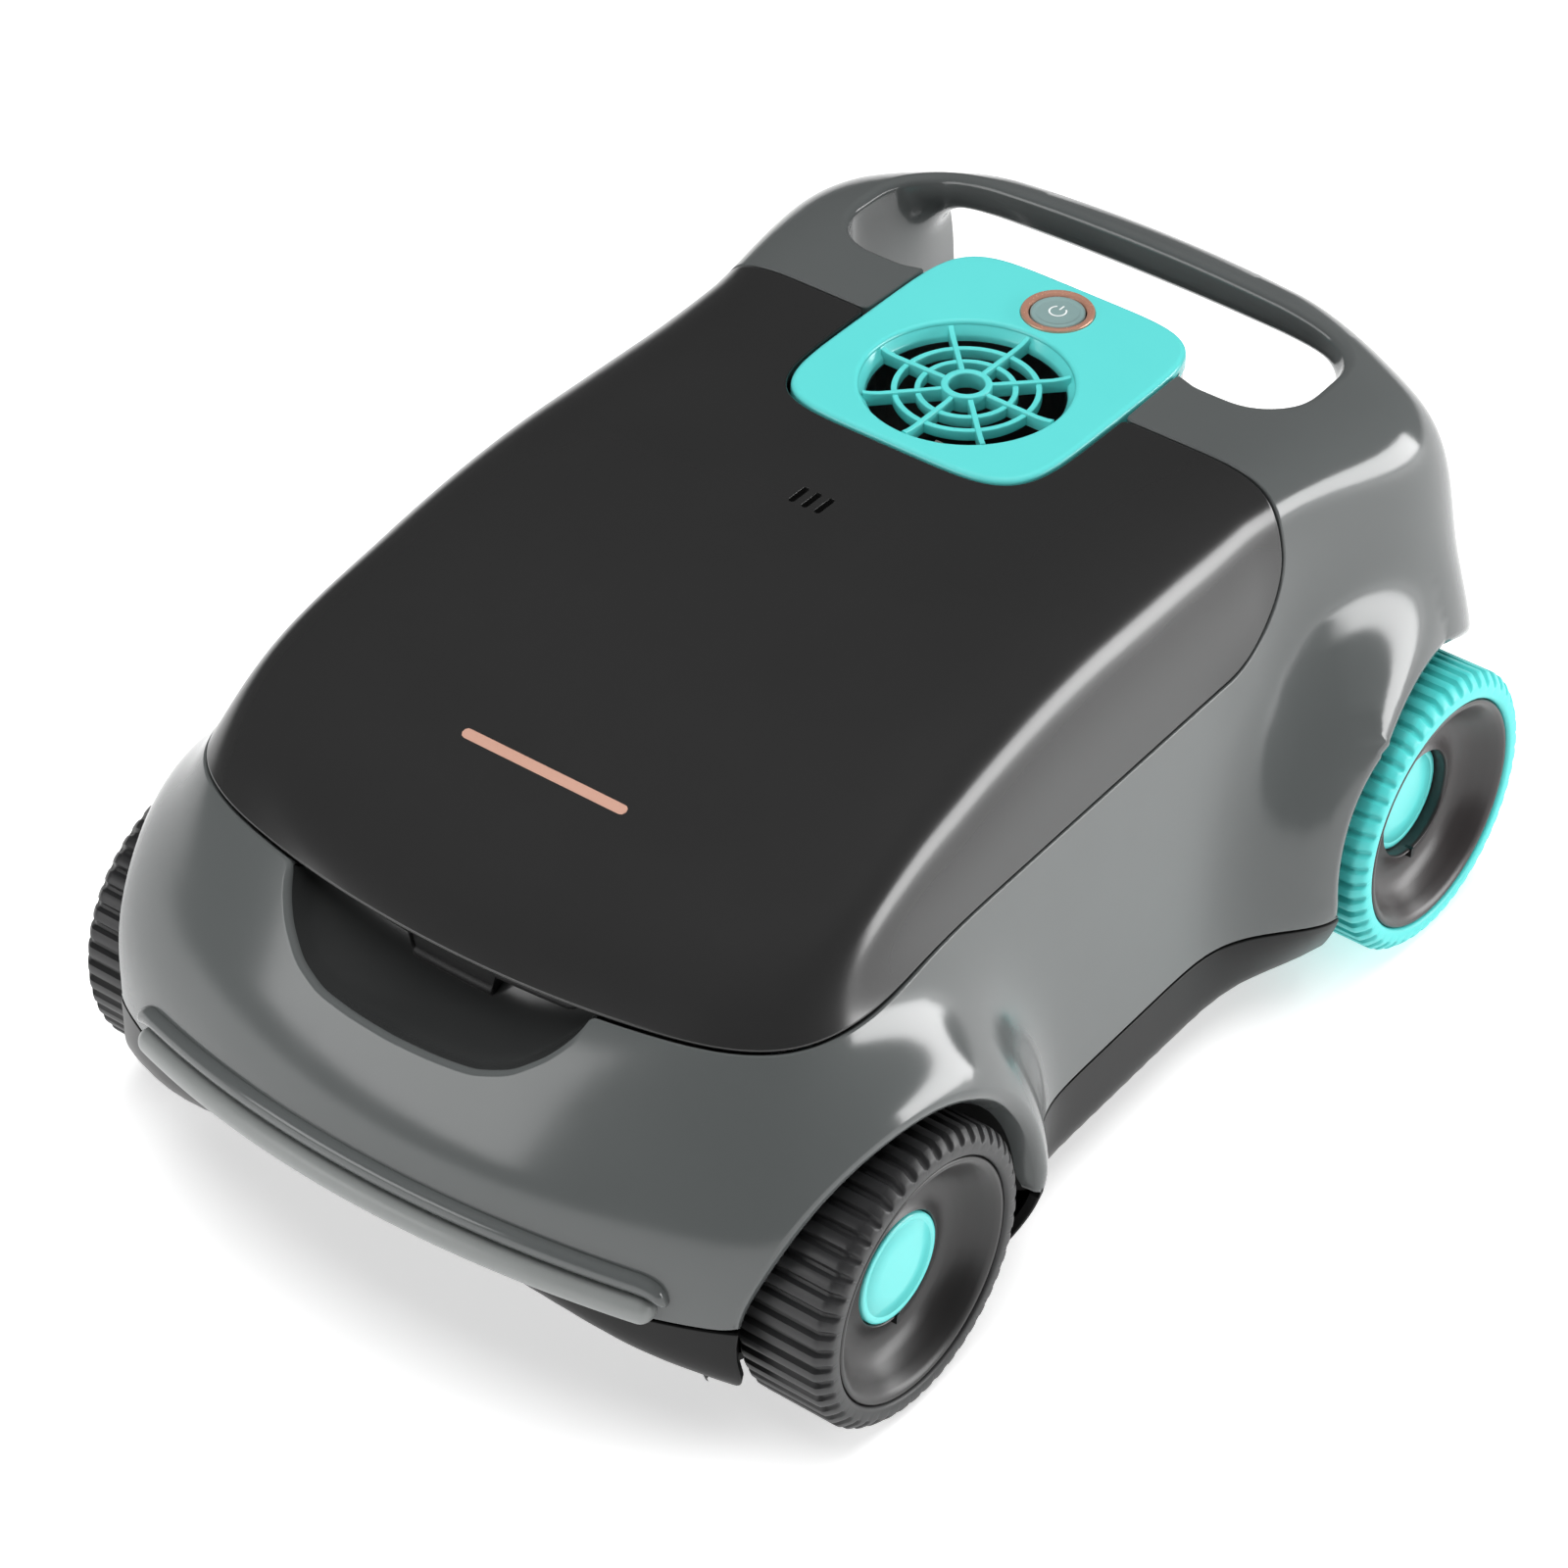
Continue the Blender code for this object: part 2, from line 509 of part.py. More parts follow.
def make_basket():
    """Lift-out basket with mesh windows, a suction opening, its flap and its bail."""
    low, high = BASKET_LOW, BASKET_HIGH
    outside = [(low[1], low[2]), (high[1], low[2]), (high[1], high[2]), (-70.0, high[2]), (low[1], 128.0)]
    shell = prism(outside, "X", low[0], high[0])
    inside = box((low[0] + BASKET_WALL, low[1] + BASKET_WALL, low[2] + BASKET_WALL),
                 (high[0] - BASKET_WALL, high[1] - BASKET_WALL, 200.0))
    cuts = [inside]
    for y0, y1 in ((-118.0, -66.0), (-52.0, 28.0)):
        cuts.append(box((-120.0, y0, 56.0), (120.0, y1, 112.0)))
    cuts.append(box((-60.0, 20.0, 56.0), (60.0, 60.0, 112.0)))
    cuts.append(box((-44.0, -80.0, 20.0), (44.0, -48.0, 60.0)))
    for side in (-1, 1):
        bore = rod("X", (0.0, BAIL_Y, 143.0), 2.4, side * 86.0 - 6.0, side * 86.0 + 6.0, 12)
        cuts.append(bore)
    piece("filter_basket", boolean(shell, cuts), "chassis_black")
    for name, side in (("left", -1), ("right", 1)):
        x0, x1 = sorted((side * (high[0] - BASKET_WALL - GAP), side * (high[0] - BASKET_WALL - GAP - 1.2)))
        piece("filter_screen_" + name, box((x0, -128.0, 50.0), (x1, 36.0, 118.0)), "filter_mesh")
    back = high[1] - BASKET_WALL - GAP
    piece("filter_screen_rear", box((-70.0, back - 1.2, 50.0), (70.0, back, 118.0)), "filter_mesh")
    flap = boolean(box((-47.5, -83.0, 37.3), (47.5, FLAP_Y - 0.5, 39.6)),
                   [rod("X", (0.0, FLAP_Y, 39.6), 2.2, -47.5, 47.5, 12)], "UNION")
    piece("inlet_flap", flap, "rubber_black", (0.0, FLAP_Y, 39.6))
    bail = [box((-81.0, BAIL_Y - 34.0, 140.5), (81.0, BAIL_Y - 28.0, 145.5))]
    for side in (-1, 1):
        x0, x1 = sorted((side * 77.0, side * 81.0))
        bail.append(box((x0, BAIL_Y - 32.0, 140.5), (x1, BAIL_Y + 3.0, 145.5)))
        x0, x1 = sorted((side * 79.0, side * 86.0))
        bail.append(rod("X", (0.0, BAIL_Y, 143.0), 2.0, x0, x1, 12))
    piece("basket_handle", boolean(bail[0], bail[1:], "UNION"), "panel_gloss_aqua", (0.0, BAIL_Y, 143.0))
    throat = boolean(prism(rounded_rectangle((-51.0, -83.5), (51.0, -44.5), 8.0, 3), "Z", 18.4, 33.7),
                     [prism(rounded_rectangle((-48.0, -80.5), (48.0, -47.5), 6.0, 3), "Z", 10.0, 40.0)])
    piece("inlet_throat", throat, "chassis_black")


# ---------------------------------------------------------------- electrics and fasteners
SOCKET_HEIGHT = 36.0
SCREWS = ((-70.0, -140.0), (70.0, -140.0), (-62.0, 98.0), (62.0, 98.0))


def make_electrics():
    """Battery, control box with its board and cover, charging socket and its flap cap."""
    piece("battery_pack", prism(rounded_rectangle((-40.0, 128.0), (40.0, 203.0), 6.0), "Z", 52.0, 98.0), "cell_blue")
    tray = boolean(box((44.0, 52.0, 32.0), (98.0, 124.0, 84.0)), [box((47.0, 55.0, 35.0), (95.0, 121.0, 90.0))])
    piece("control_box", tray, "chassis_black")
    piece("control_cover", box((44.0, 52.0, 84.3), (98.0, 124.0, 87.0)), "chassis_black")
    piece("control_board", box((50.0, 58.0, 40.0), (92.0, 118.0, 41.6)), "board_green")
    socket = turned([(0.0, 190.0), (9.0, 190.0), (9.0, 213.6), (6.4, 213.6), (6.4, 203.0), (0.0, 203.0)],
                    "Y", (0.0, 0.0, SOCKET_HEIGHT), 20, False)
    piece("charge_socket", socket, "rubber_black")
    cap = rod("Y", (0.0, 0.0, SOCKET_HEIGHT), 12.0, 214.3, 215.9, 20)
    lug = box((-3.5, 214.6, SOCKET_HEIGHT + 10.0), (3.5, 215.8, SOCKET_HEIGHT + 13.6))
    piece("charge_cap", boolean(cap, [lug], "UNION"), "rubber_black", (0.0, 215.2, SOCKET_HEIGHT + 13.0))


def make_screws():
    """Four screws that hold the chassis."""
    for number, (x, y) in enumerate(SCREWS, 1):
        screw = turned([(0.0, FLOOR + 0.2), (4.1, FLOOR + 0.2), (4.1, FLOOR + 1.4), (2.0, FLOOR + 1.4),
                        (2.0, FLOOR + 12.0), (0.0, FLOOR + 12.0)], "Z", (x, y, 0.0), 12, False)
        piece("chassis_screw_%d" % number, screw, "steel")


# ---------------------------------------------------------------- wheels and drive
def make_wheel(end, side_name, side):
    """Tyre, dished hub, hub cap and the shaft or stub axle of one wheel."""
    front = end == "front"
    axle = AXLE_FRONT if front else AXLE_REAR
    face = WHEEL_FACE_FRONT if front else WHEEL_FACE_REAR
    inner = face - TYRE_WIDTH
    origin = (side * (face - TYRE_WIDTH / 2.0), axle, AXLE_HEIGHT)
    centre = (0.0, axle, AXLE_HEIGHT)
    rim = 41.0
    deck = face - 9.5
    cap_face = deck if front else face - 15.0
    label = end + "_%s_" + side_name

    def spun(profile, segments):
        return turned([(radius, side * along) for radius, along in profile], "X", centre, segments)

    tyre = spun([(rim, inner), (TYRE_RADIUS - 1.2, inner), (TYRE_RADIUS, inner + 1.5), (TYRE_RADIUS, face - 3.4),
                 (TYRE_RADIUS - 3.4, face), (rim, face)], 28)
    piece(label % "tyre", tyre, "tyre_black" if front else "tyre_aqua", origin)
    hub = spun([(4.3, inner + 2.0), (rim - GAP, inner + 2.0), (rim - GAP, face - 1.0), (rim - 2.0, face - 1.5),
                (33.0, face - 12.0), (26.0, face - 15.0), (20.5, deck - 0.6), (19.0, deck), (19.0, face - 22.0),
                (4.3, face - 22.0)], 20)
    piece(label % "hub", hub, "hub_satin_dark", origin)
    disc = [(0.0, face - 21.7), (18.6, face - 21.7), (18.6, cap_face - 0.6), (16.0, cap_face), (0.0, cap_face + 0.2)]
    cap = turned([(radius, side * along) for radius, along in disc], "X", centre, 24, False)
    piece(label % "cap", cap, "panel_gloss_aqua", origin)
    reach = 90.0 if front else 84.0
    low, high = sorted((side * reach, side * (face - 22.2)))
    shaft = rod("X", centre, 4.0, low, high, 16)
    piece(("front_axle_" if front else "rear_shaft_") + side_name, shaft, "steel", origin)
    low, high = sorted((side * 103.5, side * 109.0))
    ring = tube("X", centre, 4.3, 7.0, low, high, 20)
    piece(("front_bush_" if front else "shaft_seal_") + side_name, ring, "bush_white" if front else "rubber_black")


def make_drive_motor(side_name, side):
    """Gear motor of a rear wheel, with the socket that takes its shaft."""
    centre = (0.0, AXLE_REAR, AXLE_HEIGHT)
    can = [(0.0, 46.0), (15.0, 46.0), (15.0, 78.0), (20.0, 78.0), (20.0, 102.0), (4.4, 102.0), (4.4, 83.5), (0.0, 83.5)]
    motor = turned([(radius, side * along) for radius, along in can], "X", centre, 20, False)
    piece("drive_motor_" + side_name, motor, "steel")


def main():
    for old in list(bpy.data.objects):
        bpy.data.objects.remove(old)
    body = casing()
    make_upper_shell(body)
    make_lid(body)
    make_lid_latch()
    make_lower_chassis(body)
    make_bumper()
    make_grille_panel()
    make_button()
    make_pump()
    make_basket()
    make_electrics()
    make_screws()
    for side_name, side in (("left", -1), ("right", 1)):
        for end in ("front", "rear"):
            make_wheel(end, side_name, side)
        make_drive_motor(side_name, side)


main()
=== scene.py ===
from math import cos, pi, radians, sin, sqrt

import bpy
import bmesh
import numpy as np
from mathutils import Matrix, Vector
from mathutils.geometry import delaunay_2d_cdt


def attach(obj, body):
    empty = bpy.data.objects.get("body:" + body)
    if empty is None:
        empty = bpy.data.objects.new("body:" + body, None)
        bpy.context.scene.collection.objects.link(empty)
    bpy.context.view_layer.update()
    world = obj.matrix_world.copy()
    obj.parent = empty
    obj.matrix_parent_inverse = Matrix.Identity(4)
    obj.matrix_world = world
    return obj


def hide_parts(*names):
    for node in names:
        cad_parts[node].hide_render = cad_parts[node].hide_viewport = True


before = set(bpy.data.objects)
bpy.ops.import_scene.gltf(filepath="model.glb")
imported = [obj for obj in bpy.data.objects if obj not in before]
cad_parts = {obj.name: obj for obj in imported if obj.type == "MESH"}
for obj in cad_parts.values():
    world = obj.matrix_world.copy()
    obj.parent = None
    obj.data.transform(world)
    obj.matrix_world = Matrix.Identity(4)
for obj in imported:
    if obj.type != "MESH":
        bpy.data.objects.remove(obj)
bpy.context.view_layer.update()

MM = 0.001

# ---------------------------------------------------------------- the hull's outer surface
AXLE_FRONT = -123.6
AXLE_REAR = 158.6
AXLE_HEIGHT = 50.0
ARCH_RADIUS = 58.0
WELL_WALL = 108.0               # inner wall of the wheel wells
FLOOR = 18.0                    # flat underside of the chassis
WELL_CHORD = sqrt(ARCH_RADIUS ** 2 - (AXLE_HEIGHT - FLOOR - 0.6) ** 2)
REAR_FACE = 216.0
NOSE_BOW = 0.0018               # how fast the nose falls back to each side
BUMPER_REACH = 101.0            # from the middle to the bumper's end
PARTING = 58.0                  # joint between shell and chassis, at the nose
PARTING_REAR = 60.0
SILL = 43.0                     # the same joint between the wheels
JOINT_GAP = 0.3                 # from the joint's middle to either part
LID_EDGE = 137.5
LID_REAR = 109.0
LID_CORNER = 31.0
FAN_Y = 95.0
BUTTON_Y = 145.0
PANEL_TOP = 194.0
MIDDLE_Y = 10.0
MIDDLE_Z = 95.0
BODY_CENTRE = np.array([0.0, MIDDLE_Y, MIDDLE_Z])
BODY_REACH = np.array([120.0, 210.0, 95.0])


def soft_max(a, b, blend):
    """Larger of two distances, rounded where they are closer than blend."""
    share = np.maximum(blend - np.abs(a - b), 0.0) / blend
    return np.maximum(a, b) + share ** 3 * blend / 6.0


def ramp(value, start, end):
    """Smooth step from 0 at start to 1 at end."""
    t = np.clip((value - start) / (end - start), 0.0, 1.0)
    return t * t * (3.0 - 2.0 * t)


def roof_height(x, y):
    """Flat roof that falls to the front and lifts into the arched handle bar."""
    fall = 25.7 * (np.maximum(14.0 - y, 0.0) / 132.0) ** 1.9
    return 193.3 - fall + ramp(y, 148.0, 190.0) * (7.5 - 0.0006 * x * x)


def flank(y, z):
    """Half width of the body, with a flare over each wheel."""
    front = np.hypot(y - AXLE_FRONT, z - AXLE_HEIGHT)
    rear = np.hypot(y - AXLE_REAR, z - AXLE_HEIGHT)
    front_flare = np.exp(-(np.maximum(front - 57.0, 0.0) / 22.0) ** 2)
    rear_flare = np.exp(-(np.maximum(rear - 57.0, 0.0) / 25.0) ** 2)
    bulge = 17.0 * ramp(y, 95.0, 185.0)
    width = 117.5 - 0.022 * y + bulge + 0.09 * (LID_EDGE - z)
    low = ramp(z, -8.0, 52.0)
    width = width + low * np.clip(20.5 + 0.10 * (y - AXLE_FRONT), 13.0, 23.5) * front_flare
    return width + low * np.clip(28.5 - 0.15 * (y - 140.0) - bulge, 8.0, 27.0) * rear_flare


def hull(points):
    """Distance-like value: below zero inside the body."""
    x, y, z = np.abs(points[..., 0]), points[..., 1], points[..., 2]
    side = 0.985 * (x - flank(y, z))
    bow = y - NOSE_BOW * x * x
    slope = -0.8367 * (bow + 214.5) + 0.5486 * (z - 78.0)
    front = soft_max(slope, -(bow + 210.0), 18.0)
    rear = y - REAR_FACE + 0.0005 * x * x + 0.0017 * np.maximum(z - 130.0, 0.0) ** 2
    value = soft_max(side, front, 44.0)
    value = soft_max(value, rear, 54.0)
    shoulder = 30.0 + 14.0 * ramp(y, -140.0, -60.0) - 12.0 * ramp(y, 60.0, 140.0)
    shoulder = shoulder + 26.0 * ramp(y, 110.0, 190.0) * ramp(x, 55.0, 105.0)
    value = soft_max(value, z - roof_height(x, y), shoulder)
    tuck = 52.0 + 9.0 * ramp(BUMPER_REACH - x, 0.0, 60.0)
    keel = soft_max(FLOOR - z, -0.545 * (y + 209.0) - 0.838 * (z - tuck), 14.0)
    return soft_max(value, keel, 10.0)


def unit(vectors):
    """Vectors at length one."""
    return vectors / np.maximum(np.linalg.norm(vectors, axis=-1, keepdims=True), 1e-9)


def cast(origin, direction):
    """Points where rays from inside the body leave it."""
    near = np.zeros(direction.shape[:-1])
    far = near + 420.0
    for _ in range(34):
        middle = 0.5 * (near + far)
        inside = hull(origin + direction * middle[..., None]) < 0.0
        near = np.where(inside, middle, near)
        far = np.where(inside, far, middle)
    return origin + direction * near[..., None]


def hull_normal(points):
    """Outward direction of the hull's surface."""
    steps = np.eye(3) * 0.4
    return unit(np.stack([hull(points + s) - hull(points - s) for s in steps], -1))


class Hull:
    """Surface for skin(): the hull, charted by direction from the middle of the body."""

    def __init__(self, down=False):
        self.turn = -1.0 if down else 1.0

    def chart(self, points):
        way = unit((points - BODY_CENTRE) / BODY_REACH)
        polar = np.arccos(np.clip(way[:, 2] * self.turn, -1.0, 1.0))
        scale = polar / np.maximum(np.hypot(way[:, 0], way[:, 1]), 1e-9)
        return np.stack([way[:, 0] * scale, way[:, 1] * scale * self.turn], -1)

    def place(self, chart):
        polar = np.maximum(np.hypot(chart[:, 0], chart[:, 1]), 1e-9)
        scale = np.sin(polar) / polar
        flat = chart * scale[:, None] * [1.0, self.turn]
        way = np.column_stack([flat, np.cos(polar) * self.turn])
        return cast(BODY_CENTRE, unit(way * BODY_REACH))

    def normal(self, points):
        return hull_normal(points)


class Level:
    """Surface for skin(): a flat face at one height."""

    PER_MM = 0.006              # chart units to one millimetre, near those of the hull

    def __init__(self, height):
        self.height = height

    def chart(self, points):
        return points[:, :2] * self.PER_MM

    def place(self, chart):
        return np.column_stack([chart / self.PER_MM, np.full(len(chart), self.height)])

    def normal(self, points):
        return np.tile([0.0, 0.0, 1.0], (len(points), 1))


# ---------------------------------------------------------------- lines on the hull
def from_side(path):
    """Points of the right flank above or below a line of (y, z)."""
    path = np.asarray(path, float)
    origin = np.column_stack([np.zeros(len(path)), path])
    return cast(origin, np.tile([1.0, 0.0, 0.0], (len(path), 1)))


def from_above(path):
    """Points of the roof at (x, y)."""
    path = np.asarray(path, float)
    origin = np.column_stack([path, np.full(len(path), MIDDLE_Z)])
    return cast(origin, np.tile([0.0, 0.0, 1.0], (len(path), 1)))


def from_end(path, way):
    """Points of the nose (way -1) or of the rear face (way 1) at (x, z)."""
    path = np.asarray(path, float)
    origin = np.column_stack([path[:, 0], np.full(len(path), 60.0 * way), path[:, 1]])
    return cast(origin, np.tile([0.0, float(way), 0.0], (len(path), 1)))


def at_height(height, start, end, count=160):
    """Level line round the body between two angles in degrees; -90 is the middle of the nose."""
    turn = np.radians(np.linspace(start, end, count))
    origin = np.tile([0.0, MIDDLE_Y, height], (count, 1))
    return cast(origin, np.stack([np.cos(turn), np.sin(turn), np.zeros(count)], -1))


def turn_of(point):
    """Angle that at_height() gives a point."""
    return np.degrees(np.arctan2(point[1] - MIDDLE_Y, point[0]))


def across(y, start, end, count=120):
    """Line over the roof in the plane of one y between two angles from straight up."""
    turn = np.radians(np.linspace(start, end, count))
    origin = np.tile([0.0, y, MIDDLE_Z], (count, 1))
    return cast(origin, np.stack([np.sin(turn), np.zeros(count), np.cos(turn)], -1))


def arc(centre, radius, start, end, steps):
    """Points on an arc, angles in degrees."""
    turn = np.radians(np.linspace(start, end, steps + 1))
    return np.stack([centre[0] + radius * np.cos(turn), centre[1] + radius * np.sin(turn)], -1)


def spaced(path, gap):
    """Line with its points about gap apart."""
    path = np.asarray(path, float)
    length = np.concatenate([[0.0], np.cumsum(np.linalg.norm(np.diff(path, axis=0), axis=1))])
    count = max(int(round(length[-1] / gap)), 2)
    at = np.linspace(0.0, length[-1], count + 1)
    return np.stack([np.interp(at, length, path[:, i]) for i in range(path.shape[1])], -1)


def softened(path, rounds):
    """Line with its corners eased, ends kept."""
    path = path.copy()
    for _ in range(rounds):
        path[1:-1] = 0.25 * path[:-2] + 0.5 * path[1:-1] + 0.25 * path[2:]
    return path


def both_sides(half):
    """Closed line from its right half, which starts and ends on the middle plane."""
    half = half.copy()
    half[0, 0] = half[-1, 0] = 0.0
    return np.concatenate([half, half[1:-1][::-1] * [-1.0, 1.0, 1.0]])


def panel_path(grow, start, end, count=260):
    """Part of the jet panel's outline, (x, y), angles in degrees from +X."""
    half_size = np.array([50.0, 54.25]) + grow
    turn = np.radians(np.linspace(start, end, count))
    way = np.stack([np.cos(turn), np.sin(turn)], -1)
    squareness = 5.2
    return [0.0, 107.25] + half_size * np.sign(way) * np.abs(way) ** (2.0 / squareness)


# ---------------------------------------------------------------- objects
def surface(name, points, faces, normals=None, sharp=40.0):
    """Mesh object from millimetre points. Faces turn to agree with the normals, where given."""
    points = np.asarray(points, float)
    if normals is not None:
        turned_faces = []
        for face in faces:
            a, b, c = points[face[0]], points[face[1]], points[face[2]]
            way = np.cross(b - a, c - a) @ normals[list(face)].sum(0)
            turned_faces.append(tuple(face) if way >= 0.0 else tuple(face)[::-1])
        faces = turned_faces
    mesh = bpy.data.meshes.new(name)
    mesh.from_pydata((points * MM).tolist(), [], [tuple(int(i) for i in face) for face in faces])
    mesh.shade_smooth()
    if normals is None:
        work = bmesh.new()
        work.from_mesh(mesh)
        bmesh.ops.recalc_face_normals(work, faces=work.faces)
        work.to_mesh(mesh)
        work.free()
        mesh.set_sharp_from_angle(angle=radians(sharp))
    else:
        mesh.normals_split_custom_set_from_vertices([tuple(n) for n in normals])
    made = bpy.data.objects.new(name, mesh)
    bpy.context.scene.collection.objects.link(made)
    return made


def dress(made, finish, body, slot, *nodes):
    """Material, body and the solid that a piece stands for; slot is not used."""
    made.data.materials.clear()
    made.data.materials.append(finish)
    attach(made, body)
    if nodes:
        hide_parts(*nodes)
    return made


def enclosed(points, loops):
    """True for the points that are inside an odd number of loops."""
    inside = np.zeros(len(points), bool)
    for loop in loops:
        for a, b in zip(loop, np.roll(loop, -1, axis=0)):
            if a[1] == b[1]:
                continue
            crosses = (a[1] > points[:, 1]) != (b[1] > points[:, 1])
            x = a[0] + (points[:, 1] - a[1]) * (b[0] - a[0]) / (b[1] - a[1])
            inside ^= crosses & (points[:, 0] < x)
    return inside


def skin(name, sheet, loops, depth=2.6, pitch=0.021, rings=5):
    """Moulded wall that covers part of a surface.

    The first loop is its edge and the others are holes. Each loop is (points, edge radius, wall),
    and radius and wall may change along it. Every edge is rounded by its radius and then goes
    straight in by its wall; wall 0 leaves it open for another surface to join. Returns the object
    and, for each loop, the ends of the rounding with the direction into the body.
    """
    insets = []
    for number, (points, radius, wall) in enumerate(loops):
        chart = sheet.chart(points)
        turned_chart = np.roll(chart, -1, axis=0)
        area = np.sum(chart[:, 0] * turned_chart[:, 1] - turned_chart[:, 0] * chart[:, 1])
        sign = 1.0 if (area > 0.0) == (number == 0) else -1.0
        normal = sheet.normal(points)
        along = unit(np.roll(points, -1, axis=0) - np.roll(points, 1, axis=0))
        inward = unit(np.cross(normal, along)) * sign
        radius = np.broadcast_to(radius, len(points))[:, None]
        inset = sheet.place(sheet.chart(points + inward * radius))
        normal = sheet.normal(inset)
        inward = unit(inward - normal * np.sum(inward * normal, -1, keepdims=True))
        insets.append((inset, normal, inward, radius, np.broadcast_to(wall, len(points))[:, None]))
    charts = [sheet.chart(inset[0]) for inset in insets]
    border = np.concatenate(charts)
    low, high = border.min(0), border.max(0)
    xs = np.arange(low[0], high[0], pitch)
    ys = np.arange(low[1], high[1], pitch * 0.866)
    grid = np.array([(x + (j % 2) * pitch / 2, y) for j, y in enumerate(ys) for x in xs])
    grid = grid[enclosed(grid, charts)]
    clear = np.ones(len(grid), bool)
    for start in range(0, len(grid), 2000):
        part = grid[start:start + 2000]
        gaps = np.linalg.norm(part[:, None] - border[None], axis=-1).min(1)
        clear[start:start + 2000] = gaps > 0.62 * pitch
    grid = grid[clear]
    flat = np.concatenate([border, grid])
    edges = []
    first = 0
    for chart in charts:
        edges += [(first + i, first + (i + 1) % len(chart)) for i in range(len(chart))]
        first += len(chart)
    found = delaunay_2d_cdt([Vector(p) for p in flat], edges, [], 0, 1e-9, True)
    seats = np.array([tuple(v) for v in found[0]])
    given = np.full(len(seats), -1)
    for i, sources in enumerate(found[3]):
        if len(sources):
            given[i] = min(sources)
    triangles = np.array([face for face in found[2]])
    middle = seats[triangles].mean(1)
    triangles = triangles[enclosed(middle, charts)]
    points = sheet.place(seats)
    known = np.concatenate([inset[0] for inset in insets])
    rim = (given >= 0) & (given < len(border))
    points[rim] = known[given[rim]]
    normals = sheet.normal(points)
    seat_of = {int(given[i]): i for i in np.nonzero(rim)[0]}
    all_points = [points]
    all_normals = [normals]
    faces = [tuple(t) for t in triangles]
    count = len(points)
    ends = []
    first = 0
    for inset, normal, inward, radius, wall in insets:
        size = len(inset)
        row = [seat_of[first + i] for i in range(size)]
        first += size
        for step in range(1, rings + 1):
            turn = 0.5 * pi * step / rings
            place = inset - normal * radius * (1.0 - cos(turn)) - inward * radius * sin(turn)
            all_points.append(place)
            all_normals.append(normal * cos(turn) - inward * sin(turn))
            fresh = list(range(count, count + size))
            faces += [(row[i], row[(i + 1) % size], fresh[(i + 1) % size], fresh[i]) for i in range(size)]
            count += size
            row = fresh
        ends.append((place, -normal))
        all_points.append(place - normal * wall)
        all_normals.append(-inward)
        fresh = list(range(count, count + size))
        for i in range(size):
            j = (i + 1) % size
            if wall[i, 0] > 0.0 or wall[j, 0] > 0.0:
                faces.append((row[i], row[j], fresh[j], fresh[i]))
        count += size
    all_points.append(points - normals * depth)
    all_normals.append(-normals)
    faces += [tuple(t + count) for t in triangles]
    made = surface(name, np.concatenate(all_points), faces, np.concatenate(all_normals))
    return made, ends


def by_length(path, marks, counts):
    """Line resampled so that each mark, a place along it, falls on a known point."""
    nearest = [int(np.argmin(np.linalg.norm(path[:, :3] - mark, axis=1))) for mark in marks]
    nearest = [0] + nearest + [len(path) - 1]
    rows = []
    for start, end, count in zip(nearest, nearest[1:], counts):
        part = path[start:end + 1]
        length = np.concatenate([[0.0], np.cumsum(np.linalg.norm(np.diff(part[:, :3], axis=0), axis=1))])
        at = np.linspace(0.0, length[-1], count, endpoint=False)
        rows.append(np.stack([np.interp(at, length, part[:, i]) for i in range(part.shape[1])], -1))
    rows.append(path[-1:])
    return np.concatenate(rows)


def loft(start, start_way, end, end_way, start_reach, end_reach, steps):
    """Rows of points on smooth curves between two lines that leave each along a direction."""
    rows = []
    for i in range(steps + 1):
        t = i / steps
        a = start + start_way * start_reach
        b = end + end_way * end_reach
        near, far = start * (1 - t) + 3 * t * a, 3 * (1 - t) * b + end * t
        rows.append(near * (1 - t) ** 2 + far * t * t)
    return np.array(rows)


def grid_faces(rows, columns, closed):
    """Faces of a grid of points, row after row."""
    faces = []
    for r in range(rows - 1):
        for c in range(columns if closed else columns - 1):
            d = (c + 1) % columns
            faces.append((r * columns + c, r * columns + d, (r + 1) * columns + d, (r + 1) * columns + c))
    return faces


def turned(name, profile, axis, centre, segments, sharp=40.0, ends=False):
    """Profile of (radius, place along the axis) spun round an axis. ends joins it into a ring."""
    points = []
    for radius, along in profile:
        for i in range(segments):
            a = 2.0 * pi * i / segments
            u, v = radius * cos(a), radius * sin(a)
            local = {"X": (along, u, v), "Y": (v, along, u), "Z": (u, v, along)}[axis]
            points.append([c + d for c, d in zip(centre, local)])
    rows = len(profile)
    faces = grid_faces(rows, segments, True)
    if ends:
        last = (rows - 1) * segments
        faces += [(last + i, last + (i + 1) % segments, (i + 1) % segments, i) for i in range(segments)]
    made = surface(name, points, faces, None, sharp)
    work = bmesh.new()
    work.from_mesh(made.data)
    bmesh.ops.remove_doubles(work, verts=work.verts, dist=1e-6)
    bmesh.ops.recalc_face_normals(work, faces=work.faces)
    work.to_mesh(made.data)
    work.free()
    return made


def eased(profile, radius, steps=4):
    """Closed profile with its corners rounded by radius, or less on short sides."""
    profile = np.asarray(profile, float)
    made = []
    for before, corner, after in zip(np.roll(profile, 1, axis=0), profile, np.roll(profile, -1, axis=0)):
        to_before, to_after = before - corner, after - corner
        reach = min(radius, 0.45 * np.linalg.norm(to_before), 0.45 * np.linalg.norm(to_after))
        a = corner + unit(to_before) * reach
        b = corner + unit(to_after) * reach
        for i in range(steps + 1):
            t = i / steps
            made.append(a * (1 - t) ** 2 + corner * 2 * t * (1 - t) + b * t * t)
    return np.array(made)


